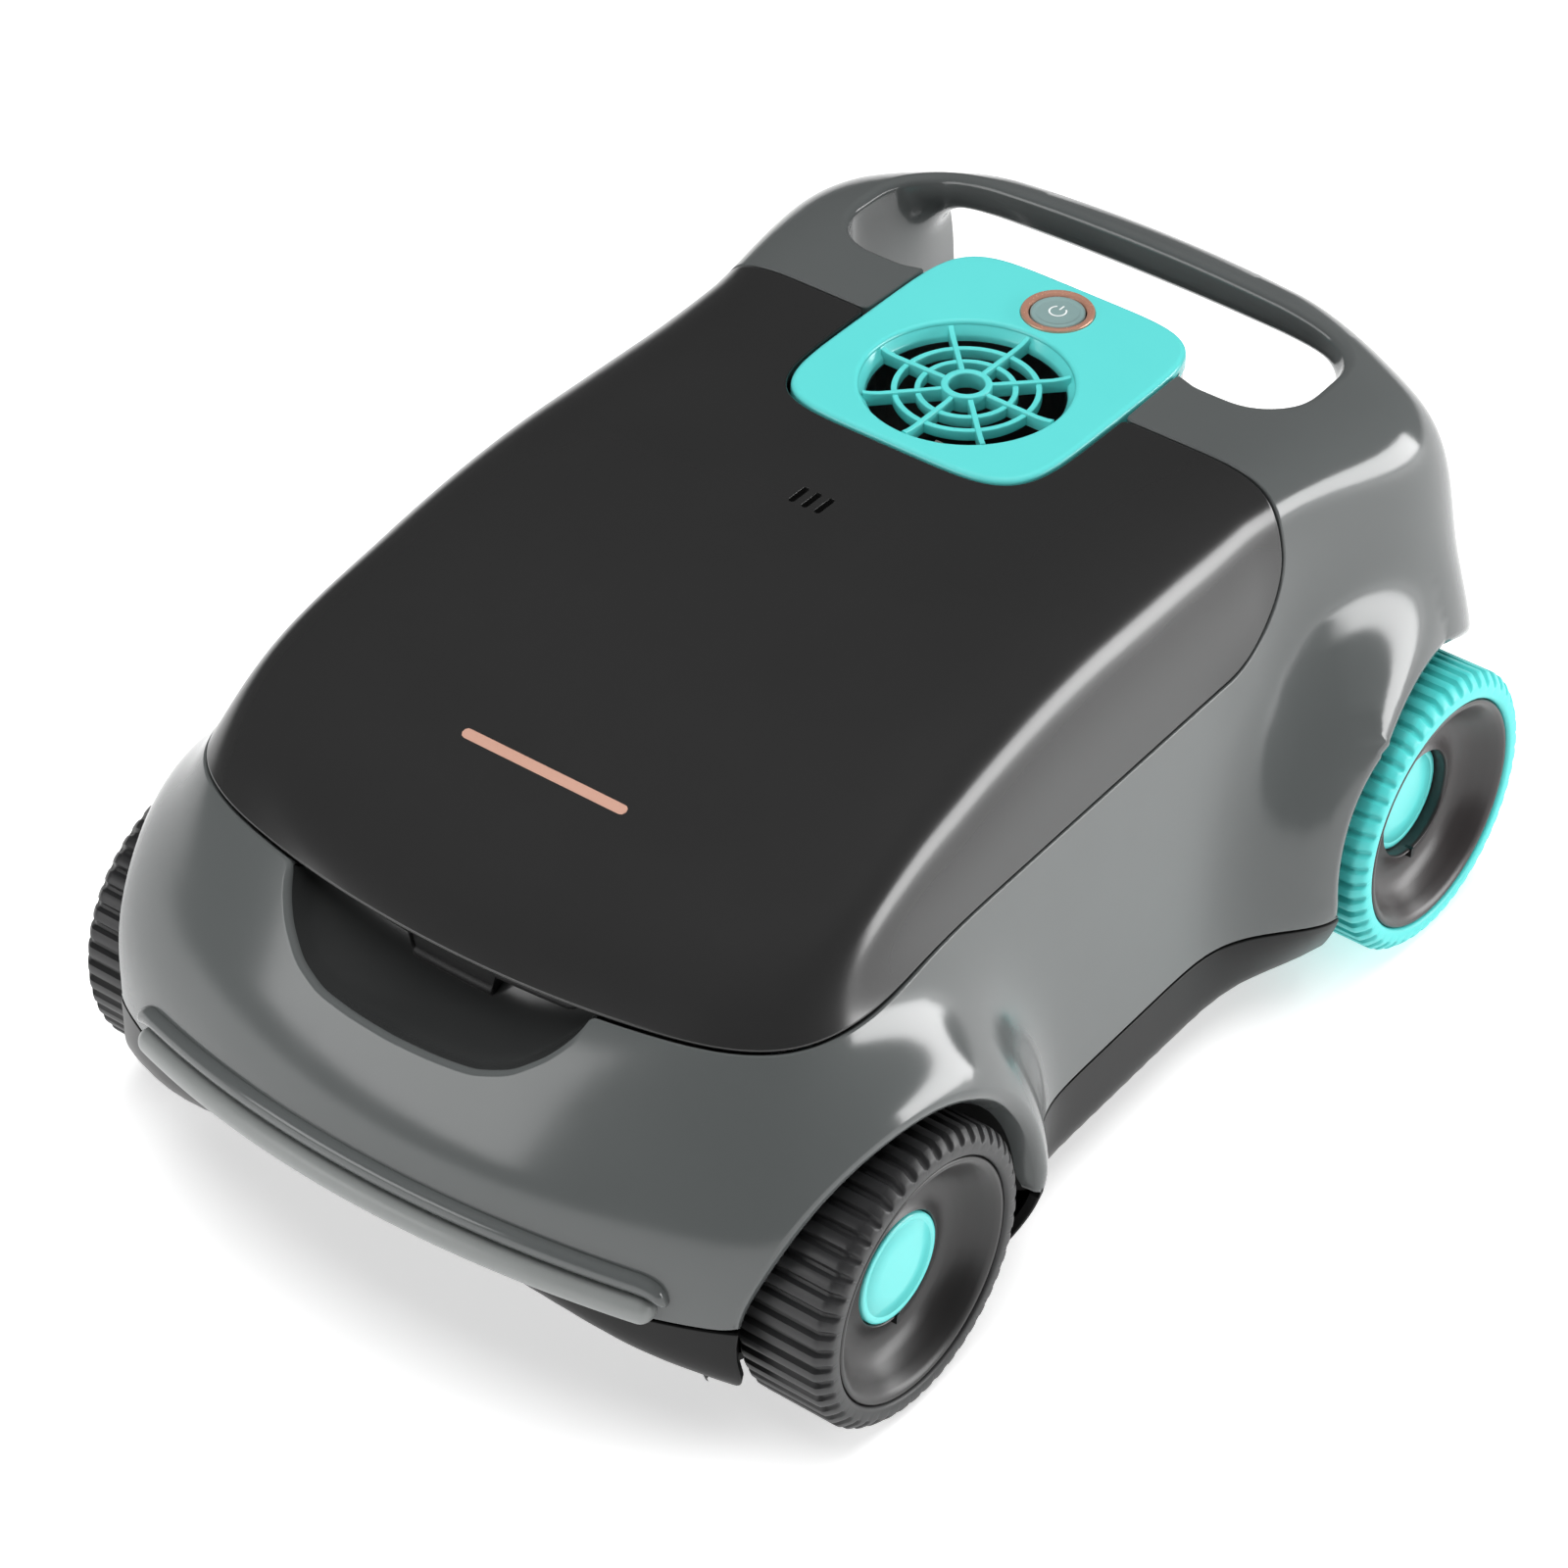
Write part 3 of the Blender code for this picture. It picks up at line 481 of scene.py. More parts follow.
def joined(name, parts):
    """Several meshes as one object."""
    base = parts[0]
    for part in parts[1:]:
        work = bmesh.new()
        work.from_mesh(base.data)
        work.from_mesh(part.data)
        work.to_mesh(base.data)
        work.free()
        bpy.data.objects.remove(part)
    base.name = name
    base.data.name = name
    return base


# ---------------------------------------------------------------- materials
def linear(code):
    """Hex sRGB colour as linear light."""
    channels = [int(code[i:i + 2], 16) / 255.0 for i in (1, 3, 5)]
    return (*[c / 12.92 if c <= 0.04045 else ((c + 0.055) / 1.055) ** 2.4 for c in channels], 1.0)


def add(tree, kind, settings, links=()):
    """One shader node with its settings; links are (input, source node, output)."""
    made = tree.nodes.new(kind)
    for key, value in settings.items():
        if key in made.inputs:
            made.inputs[key].default_value = value
        else:
            setattr(made, key, value)
    for socket, source, output in links:
        tree.links.new(source.outputs[output], made.inputs[socket])
    return made


def plastic(name, light, dark, rough, spread, grain, height, settings=None):
    """Moulded polymer: slow tone and gloss drift, and a grain of the given size in millimetres.

    The drift is what keeps a large gloss moulding from looking like glass; the grain is the
    orange peel of a polished tool when it is wide, and spark-erosion texture when it is fine.
    """
    made = bpy.data.materials.new(name)
    made.use_nodes = True
    tree = made.node_tree
    shader = tree.nodes["Principled BSDF"]
    place = add(tree, "ShaderNodeTexCoord", {})
    seat = [("Vector", place, "Object")]
    drift = add(tree, "ShaderNodeTexNoise", {"Scale": 1.0 / (45.0 * MM), "Detail": 3.0}, seat)
    tone = add(tree, "ShaderNodeMix", {"data_type": "RGBA"}, [(0, drift, "Fac")])
    tone.inputs[6].default_value = linear(light)
    tone.inputs[7].default_value = linear(dark)
    tree.links.new(tone.outputs[2], shader.inputs["Base Color"])
    smear = add(tree, "ShaderNodeTexNoise", {"Scale": 1.0 / (16.0 * MM), "Detail": 5.0}, seat)
    gloss = add(tree, "ShaderNodeMapRange", {"To Min": rough - spread, "To Max": rough + spread},
                [("Value", smear, "Fac")])
    tree.links.new(gloss.outputs["Result"], shader.inputs["Roughness"])
    peel = add(tree, "ShaderNodeTexNoise", {"Scale": 1.0 / (grain * MM), "Detail": 2.0}, seat)
    bump = add(tree, "ShaderNodeBump", {"Strength": 1.0, "Distance": height * MM},
               [("Height", peel, "Fac")])
    tree.links.new(bump.outputs["Normal"], shader.inputs["Normal"])
    for key, value in (settings or {}).items():
        shader.inputs[key].default_value = value
    return made


def metal(name, code, rough, grain, height, settings=None):
    """Metal with a turned or drawn grain: stretched noise in the roughness and in the bump."""
    made = bpy.data.materials.new(name)
    made.use_nodes = True
    tree = made.node_tree
    shader = tree.nodes["Principled BSDF"]
    shader.inputs["Metallic"].default_value = 1.0
    shader.inputs["Base Color"].default_value = linear(code)
    place = add(tree, "ShaderNodeTexCoord", {})
    stretch = add(tree, "ShaderNodeMapping", {"Scale": (1.0, 1.0, 14.0)}, [("Vector", place, "Object")])
    lines = add(tree, "ShaderNodeTexNoise", {"Scale": 1.0 / (grain * MM), "Detail": 3.0},
                [("Vector", stretch, "Vector")])
    gloss = add(tree, "ShaderNodeMapRange", {"To Min": rough - 0.06, "To Max": rough + 0.08},
                [("Value", lines, "Fac")])
    tree.links.new(gloss.outputs["Result"], shader.inputs["Roughness"])
    bump = add(tree, "ShaderNodeBump", {"Strength": 1.0, "Distance": height * MM},
               [("Height", lines, "Fac")])
    tree.links.new(bump.outputs["Normal"], shader.inputs["Normal"])
    for key, value in (settings or {}).items():
        shader.inputs[key].default_value = value
    return made


# Gloss ABS from a polished tool: sharp studio reflections with a faint orange peel
ABS_GREY = plastic("abs_gloss_grey", "#5a5d5d", "#565959", 0.15, 0.03, 7.0, 0.010, {"IOR": 1.52})
ABS_CHARCOAL = plastic("abs_gloss_charcoal", "#2d2d2d", "#2a2a2a", 0.20, 0.03, 7.0, 0.010, {"IOR": 1.52})
# The shell's grey darkened for the finger scoop's bowl: painted shade in the recess, not a colour of its own
ABS_GREY_PAINTED_SHADE = plastic("abs_grey_painted_shade", "#343535", "#303131", 0.20, 0.04, 6.0, 0.010, {"IOR": 1.52})
ABS_AQUA = plastic("abs_gloss_aqua", "#66dad7", "#60d4d1", 0.22, 0.03, 5.0, 0.008, {"IOR": 1.52})
ABS_BLACK = plastic("abs_gloss_black", "#121212", "#0f0f0f", 0.32, 0.04, 6.0, 0.010,
                    {"IOR": 1.50, "Specular IOR Level": 0.2})
# Satin ABS from a lightly etched tool: the highlight spreads and keeps no sharp edge
ABS_SATIN = plastic("abs_satin_black", "#262525", "#211f1f", 0.36, 0.04, 0.6, 0.010, {"IOR": 1.50})
ABS_SATIN_WARM = plastic("abs_satin_warm_grey", "#353131", "#2f2b2b", 0.34, 0.04, 0.6, 0.010, {"IOR": 1.50})
# Glass-filled nylon in the dark places: rough, with a speckle of fibre
NYLON_BLACK = plastic("nylon_textured_black", "#141414", "#0e0e0f", 0.55, 0.08, 0.8, 0.030, {"IOR": 1.53})
# Overmoulded TPE bumper: satin skin over a soft core
TPE_GREY = plastic("tpe_overmoulded_grey", "#8a8d8c", "#838685", 0.32, 0.05, 1.2, 0.010, {"IOR": 1.48})
# Moulded rubber tread: dry and even, with a fine tool grain
RUBBER_BLACK = plastic("tpe_tread_black", "#2a2a2b", "#232324", 0.46, 0.07, 0.9, 0.020, {"IOR": 1.50})
RUBBER_AQUA = plastic("tpe_tread_aqua", "#50d3d0", "#48c8c5", 0.42, 0.06, 0.9, 0.016, {"IOR": 1.50})
# Pressed EPDM for flaps, seals and the charging cap: matt, with the blackest tone
RUBBER_SEAL = plastic("epdm_seal_black", "#151515", "#101010", 0.75, 0.06, 0.7, 0.020, {"IOR": 1.50})
# Rose-gold ring, vapour coated on plastic, so that part of its colour is the lacquer's;
# and the hot-stamped foil accent
ROSE_METAL = metal("plated_rose_gold", "#e0a78f", 0.24, 1.6, 0.002, {"Metallic": 0.5})
ROSE_FOIL = plastic("hot_stamped_rose_foil", "#dcae9c", "#d5a591", 0.42, 0.05, 0.5, 0.004,
                    {"Metallic": 0.25})
# Clear polycarbonate over a pale diffuser: a second gloss above a milky colour
PC_CLEAR = plastic("polycarbonate_button", "#8fa9a8", "#84a09f", 0.12, 0.02, 4.0, 0.004,
                   {"IOR": 1.58, "Coat Weight": 1.0, "Coat Roughness": 0.03})
# Ink of the standby symbol on the button
PRINT_WHITE = plastic("pad_printed_white", "#f2f6f6", "#e8eded", 0.40, 0.05, 0.6, 0.003)
# Turned steel of shafts, screws and motor cans: fine rings in the gloss
STEEL = metal("stainless_turned", "#b9babb", 0.28, 1.2, 0.004)
# Natural acetal for the impeller and the bushes: waxy and slightly translucent white
ACETAL = plastic("acetal_white", "#dddbd3", "#d2d0c8", 0.38, 0.05, 1.0, 0.008, {"IOR": 1.48})
# Solder mask on the control board, and the shrink sleeve round the cells
BOARD = plastic("solder_mask_green", "#1f5c3a", "#184a2f", 0.35, 0.05, 0.5, 0.006)
SLEEVE = plastic("heat_shrink_blue", "#2f4f86", "#28446f", 0.30, 0.06, 9.0, 0.060)


def woven():
    """Polyester filter mesh: two crossed sets of 0.5 mm threads in bump and colour."""
    made = bpy.data.materials.new("woven_filter_mesh")
    made.use_nodes = True
    tree = made.node_tree
    shader = tree.nodes["Principled BSDF"]
    place = add(tree, "ShaderNodeTexCoord", {})
    scale = 1.0 / (3.2 * MM)
    seat = [("Vector", place, "Object")]
    warp = add(tree, "ShaderNodeTexWave", {"Scale": scale, "bands_direction": "Y"}, seat)
    weft = add(tree, "ShaderNodeTexWave", {"Scale": scale, "bands_direction": "Z"}, seat)
    both = add(tree, "ShaderNodeMath", {"operation": "MAXIMUM"}, [(0, warp, "Fac"), (1, weft, "Fac")])
    tone = add(tree, "ShaderNodeMix", {"data_type": "RGBA"}, [(0, both, 0)])
    tone.inputs[6].default_value = linear("#7d8283")
    tone.inputs[7].default_value = linear("#d4d8d9")
    tree.links.new(tone.outputs[2], shader.inputs["Base Color"])
    bump = add(tree, "ShaderNodeBump", {"Strength": 1.0, "Distance": 0.15 * MM}, [("Height", both, 0)])
    tree.links.new(bump.outputs["Normal"], shader.inputs["Normal"])
    shader.inputs["Roughness"].default_value = 0.6
    return made


FILTER_MESH = woven()

# ---------------------------------------------------------------- lines that the mouldings share
LINE = 1.6                      # spacing of the points along an edge
SEAM = 0.7                      # gap round the lid


def lid_half(grow, notch):
    """Right half of the lid's edge: nose, flank, rear corner, hinge line and panel notch."""
    edge, back = LID_EDGE - grow, LID_REAR + grow
    corner = from_side(arc((LID_REAR - LID_CORNER, LID_EDGE + LID_CORNER), LID_CORNER + grow, -90, 0, 40))
    angle = turn_of(corner[0])
    nose = at_height(edge, -90.0, angle, 260)
    lean = np.degrees(np.arctan2(corner[-1, 0], corner[-1, 2] - MIDDLE_Z))
    rear = across(back, lean, 20.0)
    side = panel_path(notch, 2.0, -90.0, 400)
    side = side[side[:, 1] < back]
    rear = rear[rear[:, 0] > side[0, 0]]
    return nose, corner, rear, from_above(side)


def arch_path(axle, start, end):
    """Wheel arch on the flank between two angles, as (y, z)."""
    return arc((axle, AXLE_HEIGHT), ARCH_RADIUS, start, end, 160)


def eased_share(mask, rounds):
    """Mask along a closed line as a share from 0 to 1, with soft ends inside the mask."""
    share = mask.astype(float)
    for _ in range(rounds):
        share = np.minimum(share, (np.roll(share, 1) + share + np.roll(share, -1)) / 3.0)
        share = (np.roll(share, 1) + 2.0 * share + np.roll(share, -1)) / 4.0
    return share


def arch_share(points):
    """1 on the arches' lips and 0 elsewhere, eased along the line."""
    near = np.zeros(len(points))
    for axle in (AXLE_FRONT, AXLE_REAR):
        away = np.hypot(points[:, 1] - axle, points[:, 2] - AXLE_HEIGHT)
        near = np.maximum(near, (np.abs(away - ARCH_RADIUS) < 0.8).astype(float))
    return eased_share(near, 6)


# ---------------------------------------------------------------- lid
nose, corner, rear, notch = lid_half(0.0, 1.0)
half = spaced(softened(spaced(np.concatenate([nose, corner, rear, notch]), LINE), 2), LINE)
slots = []
for x in (-5.0, 0.0, 5.0):
    pill = np.concatenate([arc((x, 10.3), 1.1, 180, 360, 10), arc((x, 17.1), 1.1, 0, 180, 10)])
    slots.append((from_above(pill[:-1]), 0.25, 2.4))
lid, _ = skin("lid_moulding", Hull(), [(both_sides(half), 1.0, 2.0)] + slots)
dress(lid, ABS_CHARCOAL, "filter_lid", "lid_gloss_charcoal", "lid")

# ---------------------------------------------------------------- shell
nose, corner, rear, side = lid_half(SEAM, 0.7)
scoop = np.array([(0.0, 114.3), (16.0, 114.6), (30.0, 115.4), (41.0, 118.6), (50.0, 124.8), (55.6, 131.0),
                  (58.3, 137.0)])
scoop = from_end(softened(spaced(scoop, 0.8), 14), -1)
nose = nose[nose[:, 0] > scoop[-1, 0]]
flank_top = panel_path(0.7, 60.0, 2.0, 400)
flank_top = flank_top[(flank_top[:, 1] > LID_REAR + SEAM) & (flank_top[:, 1] < 141.0)][::-1]
grip = [(54.0, 141.0), (57.5, 139.5), (71.0, 139.5)]
grip = np.concatenate([grip, arc((71.0, 159.5), 20.0, -90, 0, 30), arc((73.0, 172.0), 18.0, 0, 90, 30),
                       [(0.0, 190.0)]])
grip = from_above(softened(spaced(grip, 1.0), 6))
half = np.concatenate([scoop, nose, corner, rear, from_above(flank_top), grip])
half = spaced(softened(spaced(half, LINE), 1), LINE)
top_hole = both_sides(half)
on_grip = (top_hole[:, 1] > 139.0) & (top_hole[:, 2] > 180.0)
on_scoop = (top_hole[:, 2] < LID_EDGE - SEAM - 0.4) & (top_hole[:, 1] < 0.0)


top_radius = 0.8 + 2.6 * eased_share(on_grip, 5) + 1.4 * eased_share(on_scoop, 3)
top_wall = np.where(on_grip | on_scoop, 0.0, 3.4)

rear_half = np.concatenate([[(0.0, 183.0)], arc((72.0, 167.0), 16.0, 90, 0, 24),
                            arc((70.0, 126.0), 18.0, 0, -90, 24), [(0.0, 108.0)]])
rear_hole = both_sides(spaced(from_end(softened(spaced(rear_half, 1.0), 4), 1), LINE))

arch_front = from_side(arch_path(AXLE_FRONT, 171.8, -6.6))
arch_rear = from_side(arch_path(AXLE_REAR, 186.6, 0.0))
arch_rear = arch_rear[arch_rear[:, 0] > WELL_WALL]
height = np.linspace(arch_rear[-1, 2], PARTING_REAR + JOINT_GAP, 30)
well_edge = from_end(np.column_stack([np.full(30, WELL_WALL), height]), 1)
sill = from_side(np.column_stack([np.linspace(-65.0, 100.0, 120), np.full(120, SILL + JOINT_GAP)]))
half = np.concatenate([at_height(PARTING + JOINT_GAP, -90.0, turn_of(arch_front[0]), 200), arch_front, sill,
                       arch_rear, well_edge,
                       at_height(PARTING_REAR + JOINT_GAP, turn_of(well_edge[-1]), 90.0, 120)])
shell_edge = both_sides(spaced(half, LINE))
lip = arch_share(shell_edge)
shell, ends = skin("shell_moulding", Hull(), [(shell_edge, 0.7 + 3.3 * lip, 2.6 + 3.0 * lip),
                                              (top_hole, top_radius, top_wall), (rear_hole, 3.4, 0.0)])

# Hand tunnel: from the opening in the roof, round the tongue under the panel, out at the rear
rim, way = ends[1]
top_count = (len(top_hole) + 2) // 2
right = slice(0, top_count)
keep = on_grip[right]
grip_rim = np.column_stack([rim[right][keep], way[right][keep]])[::-1]
tongue = panel_path(-0.6, 34.0, 90.0, 200)
down = np.tile([0.0, 0.0, -1.0], (len(tongue), 1))
tongue = np.column_stack([tongue, np.full(len(tongue), PANEL_TOP - 3.5), down])
tongue = tongue[tongue[:, 1] > grip_rim[-1, 1] + 1.0]
upper = np.concatenate([grip_rim, tongue])
upper[0, 0] = upper[-1, 0] = 0.0
rim, way = ends[2]
rear_count = (len(rear_hole) + 2) // 2
lower = np.column_stack([rim[:rear_count], way[:rear_count]])
lower[0, 0] = lower[-1, 0] = 0.0
counts = (36, 10, 14, 14, 40)
upper = by_length(upper, [(76.0, 188.0, 196.0), (89.5, 178.0, 192.0), (88.0, 152.0, 192.0),
                          (66.0, 141.0, 192.0)], counts)
lower = by_length(lower, [(72.0, 208.0, 183.0), (88.0, 206.0, 167.0), (88.0, 212.0, 124.0),
                          (70.0, 214.0, 108.0)], counts)


def mirrored_rows(rows):
    """Right half of a line with directions, closed by its mirror image."""
    flip = np.array([-1.0, 1.0, 1.0, -1.0, 1.0, 1.0])
    return np.concatenate([rows, rows[1:-1][::-1] * flip])


upper, lower = mirrored_rows(upper), mirrored_rows(lower)
apart = np.linalg.norm(upper[:, :3] - lower[:, :3], axis=1)[:, None]
rows = loft(upper[:, :3], upper[:, 3:], lower[:, :3], lower[:, 3:], 0.46 * apart, 0.46 * apart, 26)
tunnel = surface("hand_tunnel", rows.reshape(-1, 3), grid_faces(27, len(upper), True), None, 70.0)

# Finger scoop: a bowl from the opening's edge up behind the latch, in a darker grey than the shell as
# painted shade for the recess
rim, way = ends[1]
order = np.concatenate([np.nonzero(on_scoop & (np.arange(len(rim)) > top_count))[0],
                        np.nonzero(on_scoop & (np.arange(len(rim)) <= top_count))[0]])
bowl, bowl_way = rim[order], way[order]
share = (np.abs(bowl[:, 0]) / 58.0) ** 2
back = np.column_stack([bowl[:, 0] * 0.94, -152.0 - 5.0 * share, np.full(len(bowl), 136.0)])
down = np.tile([0.0, 0.0, -1.0], (len(bowl), 1))
rows = loft(bowl, bowl_way, back, down, 13.0 - 7.0 * share[:, None], 20.0 - 14.0 * share[:, None], 14)
scoop_bowl = surface("scoop_bowl", rows.reshape(-1, 3), grid_faces(15, len(bowl), False), None, 70.0)
dress(tunnel, ABS_GREY, "casing", "shell_gloss_grey")
dress(scoop_bowl, ABS_GREY_PAINTED_SHADE, "casing", "shell_gloss_grey")
dress(shell, ABS_GREY, "casing", "shell_gloss_grey", "upper_shell")

# ---------------------------------------------------------------- lower chassis and wheel wells
def under(x0, y0, x1, y1, count=24):
    """Line on the floor of the chassis."""
    origin = np.column_stack([np.linspace(x0, x1, count), np.linspace(y0, y1, count), np.full(count, 60.0)])
    return cast(origin, np.tile([0.0, 0.0, -1.0], (count, 1)))


def lower_arch(axle, start, end):
    """Part of a wheel arch below the parting line, on the flank."""
    path = arc((axle, AXLE_HEIGHT), ARCH_RADIUS, start, end, 60)
    return from_side(path[path[:, 1] > 19.5])


first = lower_arch(AXLE_FRONT, 172.4, 212.5)
second = lower_arch(AXLE_FRONT, -32.5, -7.2)
third = lower_arch(AXLE_REAR, 187.2, 212.5)
ahead, behind = AXLE_FRONT - WELL_CHORD, AXLE_FRONT + WELL_CHORD
floor_front = np.concatenate([under(first[-1, 0] - 3.0, ahead, WELL_WALL, ahead),
                              under(WELL_WALL, ahead, WELL_WALL, behind, 60),
                              under(WELL_WALL, behind, second[0, 0] - 3.0, behind)])
height = np.linspace(24.0, PARTING_REAR - JOINT_GAP, 40)
well_back = from_end(np.column_stack([np.full(40, WELL_WALL), height]), 1)
ahead = AXLE_REAR - WELL_CHORD
floor_rear = np.concatenate([under(third[-1, 0] - 3.0, ahead, WELL_WALL, ahead),
                             under(WELL_WALL, ahead, WELL_WALL, well_back[0, 1] - 8.0, 60)])
sill = from_side(np.column_stack([np.linspace(-65.5, 100.5, 120), np.full(120, SILL - JOINT_GAP)]))
half = np.concatenate([at_height(PARTING - JOINT_GAP, -90.0, turn_of(first[0]), 200), first, floor_front,
                       second, sill, third, floor_rear, well_back,
                       at_height(PARTING_REAR - JOINT_GAP, turn_of(well_back[-1]), 90.0, 120)])
tub, _ = skin("chassis_moulding", Hull(down=True), [(both_sides(spaced(half, LINE)), 0.7, 2.6)])
dress(tub, ABS_BLACK, "casing", "chassis_black", "lower_chassis")


def well_liner(axle, side):
    """Dark lining of a wheel well: the drum above the tyre and the wall behind the wheel."""
    turns = np.radians(np.linspace(-24.0, 204.0, 97))
    radius = ARCH_RADIUS + 0.4
    yz = np.column_stack([axle + radius * np.cos(turns), AXLE_HEIGHT + radius * np.sin(turns)])
    inside = np.column_stack([np.clip(yz[:, 0], -206.0, 213.0), np.maximum(yz[:, 1], FLOOR + 2.0)])
    outer = from_side(inside)[:, 0] - 5.0
    outer = np.minimum(outer, WELL_WALL + 3.0 + 40.0 * ramp(yz[:, 1], 22.0, 50.0))
    outer = np.maximum(outer, WELL_WALL + 0.5)
    wall = side * (WELL_WALL - 0.6)
    points = [(wall, y, z) for y, z in yz]
    points += [(side * x, y, z) for x, (y, z) in zip(outer, yz)]
    faces = grid_faces(2, len(yz), False)
    hub = len(points)
    shaft_hole = 7.4
    points += [(wall, axle + shaft_hole * cos(t), AXLE_HEIGHT + shaft_hole * sin(t)) for t in turns]
    size = len(yz)
    faces += [(i, i + 1, hub + i + 1, hub + i) for i in range(size - 1)]
    return surface("well_liner_%s" % ("right" if side > 0 else "left"), points, faces, None, 30.0)


for label, axle in (("front", AXLE_FRONT), ("rear", AXLE_REAR)):
    pair = joined("well_liners_" + label, [well_liner(axle, 1), well_liner(axle, -1)])
    dress(pair, NYLON_BLACK, "casing", "chassis_black")


# ---------------------------------------------------------------- nose: bumper, lip and latch
def bowed_bar(name, lift, reach, out, tall, sink, power):
    """Arched bar on the nose, lift above the bumper's line, D-shaped in section, with round ends."""
    stations = reach * np.sin(np.radians(np.linspace(-90.0, 90.0, 121)))
    droop = np.sqrt(1.0 - (np.maximum(np.abs(stations) - 95.0, 0.0) / 11.0) ** 2)
    height = 62.5 + 6.5 * (1.0 - (stations / BUMPER_REACH) ** 2) + lift * droop
    seats = from_end(np.column_stack([stations, height]), -1)
    past = np.maximum(np.abs(stations) - (reach - tall), 0.0) / tall
    size = np.sqrt(np.clip(1.0 - past ** 2, 0.004, 1.0))
    angles = np.radians(np.linspace(-90.0, 90.0, 21))
    points = []
    for seat, share in zip(seats, size):
        away = unit(np.array([2.0 * NOSE_BOW * seat[0], -1.0, 0.0]))
        for a in angles:
            push = out * share * cos(a) ** power
            points.append(seat + away * push + [0.0, 0.0, tall * share * sin(a)])
        points.append(seat - away * sink + [0.0, 0.0, tall * share * 0.9])
        points.append(seat - away * sink - [0.0, 0.0, tall * share * 0.9])
    count = len(angles) + 2
    faces = grid_faces(len(stations), count, True)
    faces += [tuple(range(count)), tuple(range(len(points) - 1, len(points) - count - 1, -1))]
    return surface(name, points, faces, None, 50.0)


bumper = bowed_bar("bumper_moulding", 0.0, BUMPER_REACH, 5.9, 4.6, 1.5, 0.6)
dress(bumper, TPE_GREY, "casing", "bumper_grey", "bumper_strip")
dress(bowed_bar("nose_lip", 8.3, 104.5, 3.6, 3.4, 1.5, 0.8), ABS_GREY, "casing", "shell_gloss_grey")


def latch():
    """Stepped lip with a rounded lower bead, bowed like the lid's edge, with a pull tab."""
    stations = np.linspace(-47.0, 47.0, 189)
    seats = from_end(np.column_stack([stations, np.full(len(stations), LID_EDGE)]), -1)
    step = ramp(np.abs(stations), 15.0, 17.5)
    ends = np.sqrt(np.clip(1.0 - (np.maximum(np.abs(stations) - 43.0, 0.0) / 4.0) ** 2, 0.01, 1.0))
    low = 119.5 + 8.0 * step + 6.0 * (1.0 - ends)
    section = [(-1.4, 3.5), (-1.4, 1.9), (-2.3, 1.2), (-2.6, 0.0), (-2.3, -1.2), (-1.4, -1.9), (0.0, -2.2),
               (1.4, -1.9), (2.0, -1.0), (2.0, 2.0)]
    points = []
    for seat, base in zip(seats, low):
        middle = seat[1] + 11.5
        points.append((seat[0], middle - 1.4, 138.6))
        points += [(seat[0], middle + u, base + v) for u, v in section]
        points.append((seat[0], middle + 2.0, 138.6))
    count = len(section) + 2
    faces = grid_faces(len(stations), count, True)
    faces += [tuple(range(count)), tuple(range(len(points) - 1, len(points) - count - 1, -1))]
    return surface("latch_moulding", points, faces, None, 45.0)


dress(latch(), NYLON_BLACK, "filter_lid", "chassis_black", "lid_latch")

# Plain foil accent on the lid
pill = np.concatenate([arc((30.0, -117.0), 1.7, -90, 90, 16), arc((-30.0, -117.0), 1.7, 90, 270, 16)])
pill = from_above(spaced(np.concatenate([pill, pill[:1]]), 1.2)[:-1])
accent, _ = skin("lid_accent", Hull(), [(pill, 0.15, 0.0)], 0.1, 0.012, 2)
accent.data.transform(Matrix.Translation((0.0, -0.06 * MM, 0.16 * MM)))
dress(accent, ROSE_FOIL, "filter_lid", "bezel_rose_metal")

# ---------------------------------------------------------------- jet grille, ring and button
outline = spaced(np.concatenate([panel_path(0.0, -180.0, 180.0, 900)]), LINE)[:-1]
outline = np.column_stack([outline, np.full(len(outline), PANEL_TOP)])


def ring_at(y, radius, count):
    """Circle on the panel."""
    turns = np.linspace(0.0, 2.0 * pi, count, endpoint=False)
    return np.column_stack([radius * np.cos(turns), y + radius * np.sin(turns), np.full(count, PANEL_TOP)])


panel, _ = skin("jet_panel", Level(PANEL_TOP), [(outline, 2.2, 3.0), (ring_at(FAN_Y, 34.6, 140), 1.6, 0.0),
                                               (ring_at(BUTTON_Y, 12.3, 60), 0.3, 2.0)], 4.0)
low = PANEL_TOP - 5.0
centre = (0.0, FAN_Y, 0.0)
profile = [(34.6, PANEL_TOP - 1.6), (34.1, PANEL_TOP - 2.4), (32.8, low + 1.0), (32.4, low + 0.2),
           (32.3, low - 2.0), (33.6, low - 2.0)]
funnel = turned("jet_funnel", profile, "Z", centre, 140, 60.0)
bars = []
base, top = low - 1.6, low + 2.2
for radius in (15.7, 23.2):
    inner, outer = radius - 1.0, radius + 1.0
    profile = eased([(inner, base), (outer, base), (outer, top), (inner, top)], 0.5)
    bars.append(turned("grille_ring", profile, "Z", centre, 96, 50.0, True))
profile = eased([(5.9, low - 2.0), (8.3, low - 2.0), (8.3, low + 4.2), (5.9, low + 4.2)], 0.7)
bars.append(turned("grille_hub", profile, "Z", centre, 72, 50.0, True))
section = eased([(-1.0, base), (1.0, base), (0.9, low + 3.0), (-0.9, low + 3.0)], 0.45)
count = len(section)
SPOKES = 8
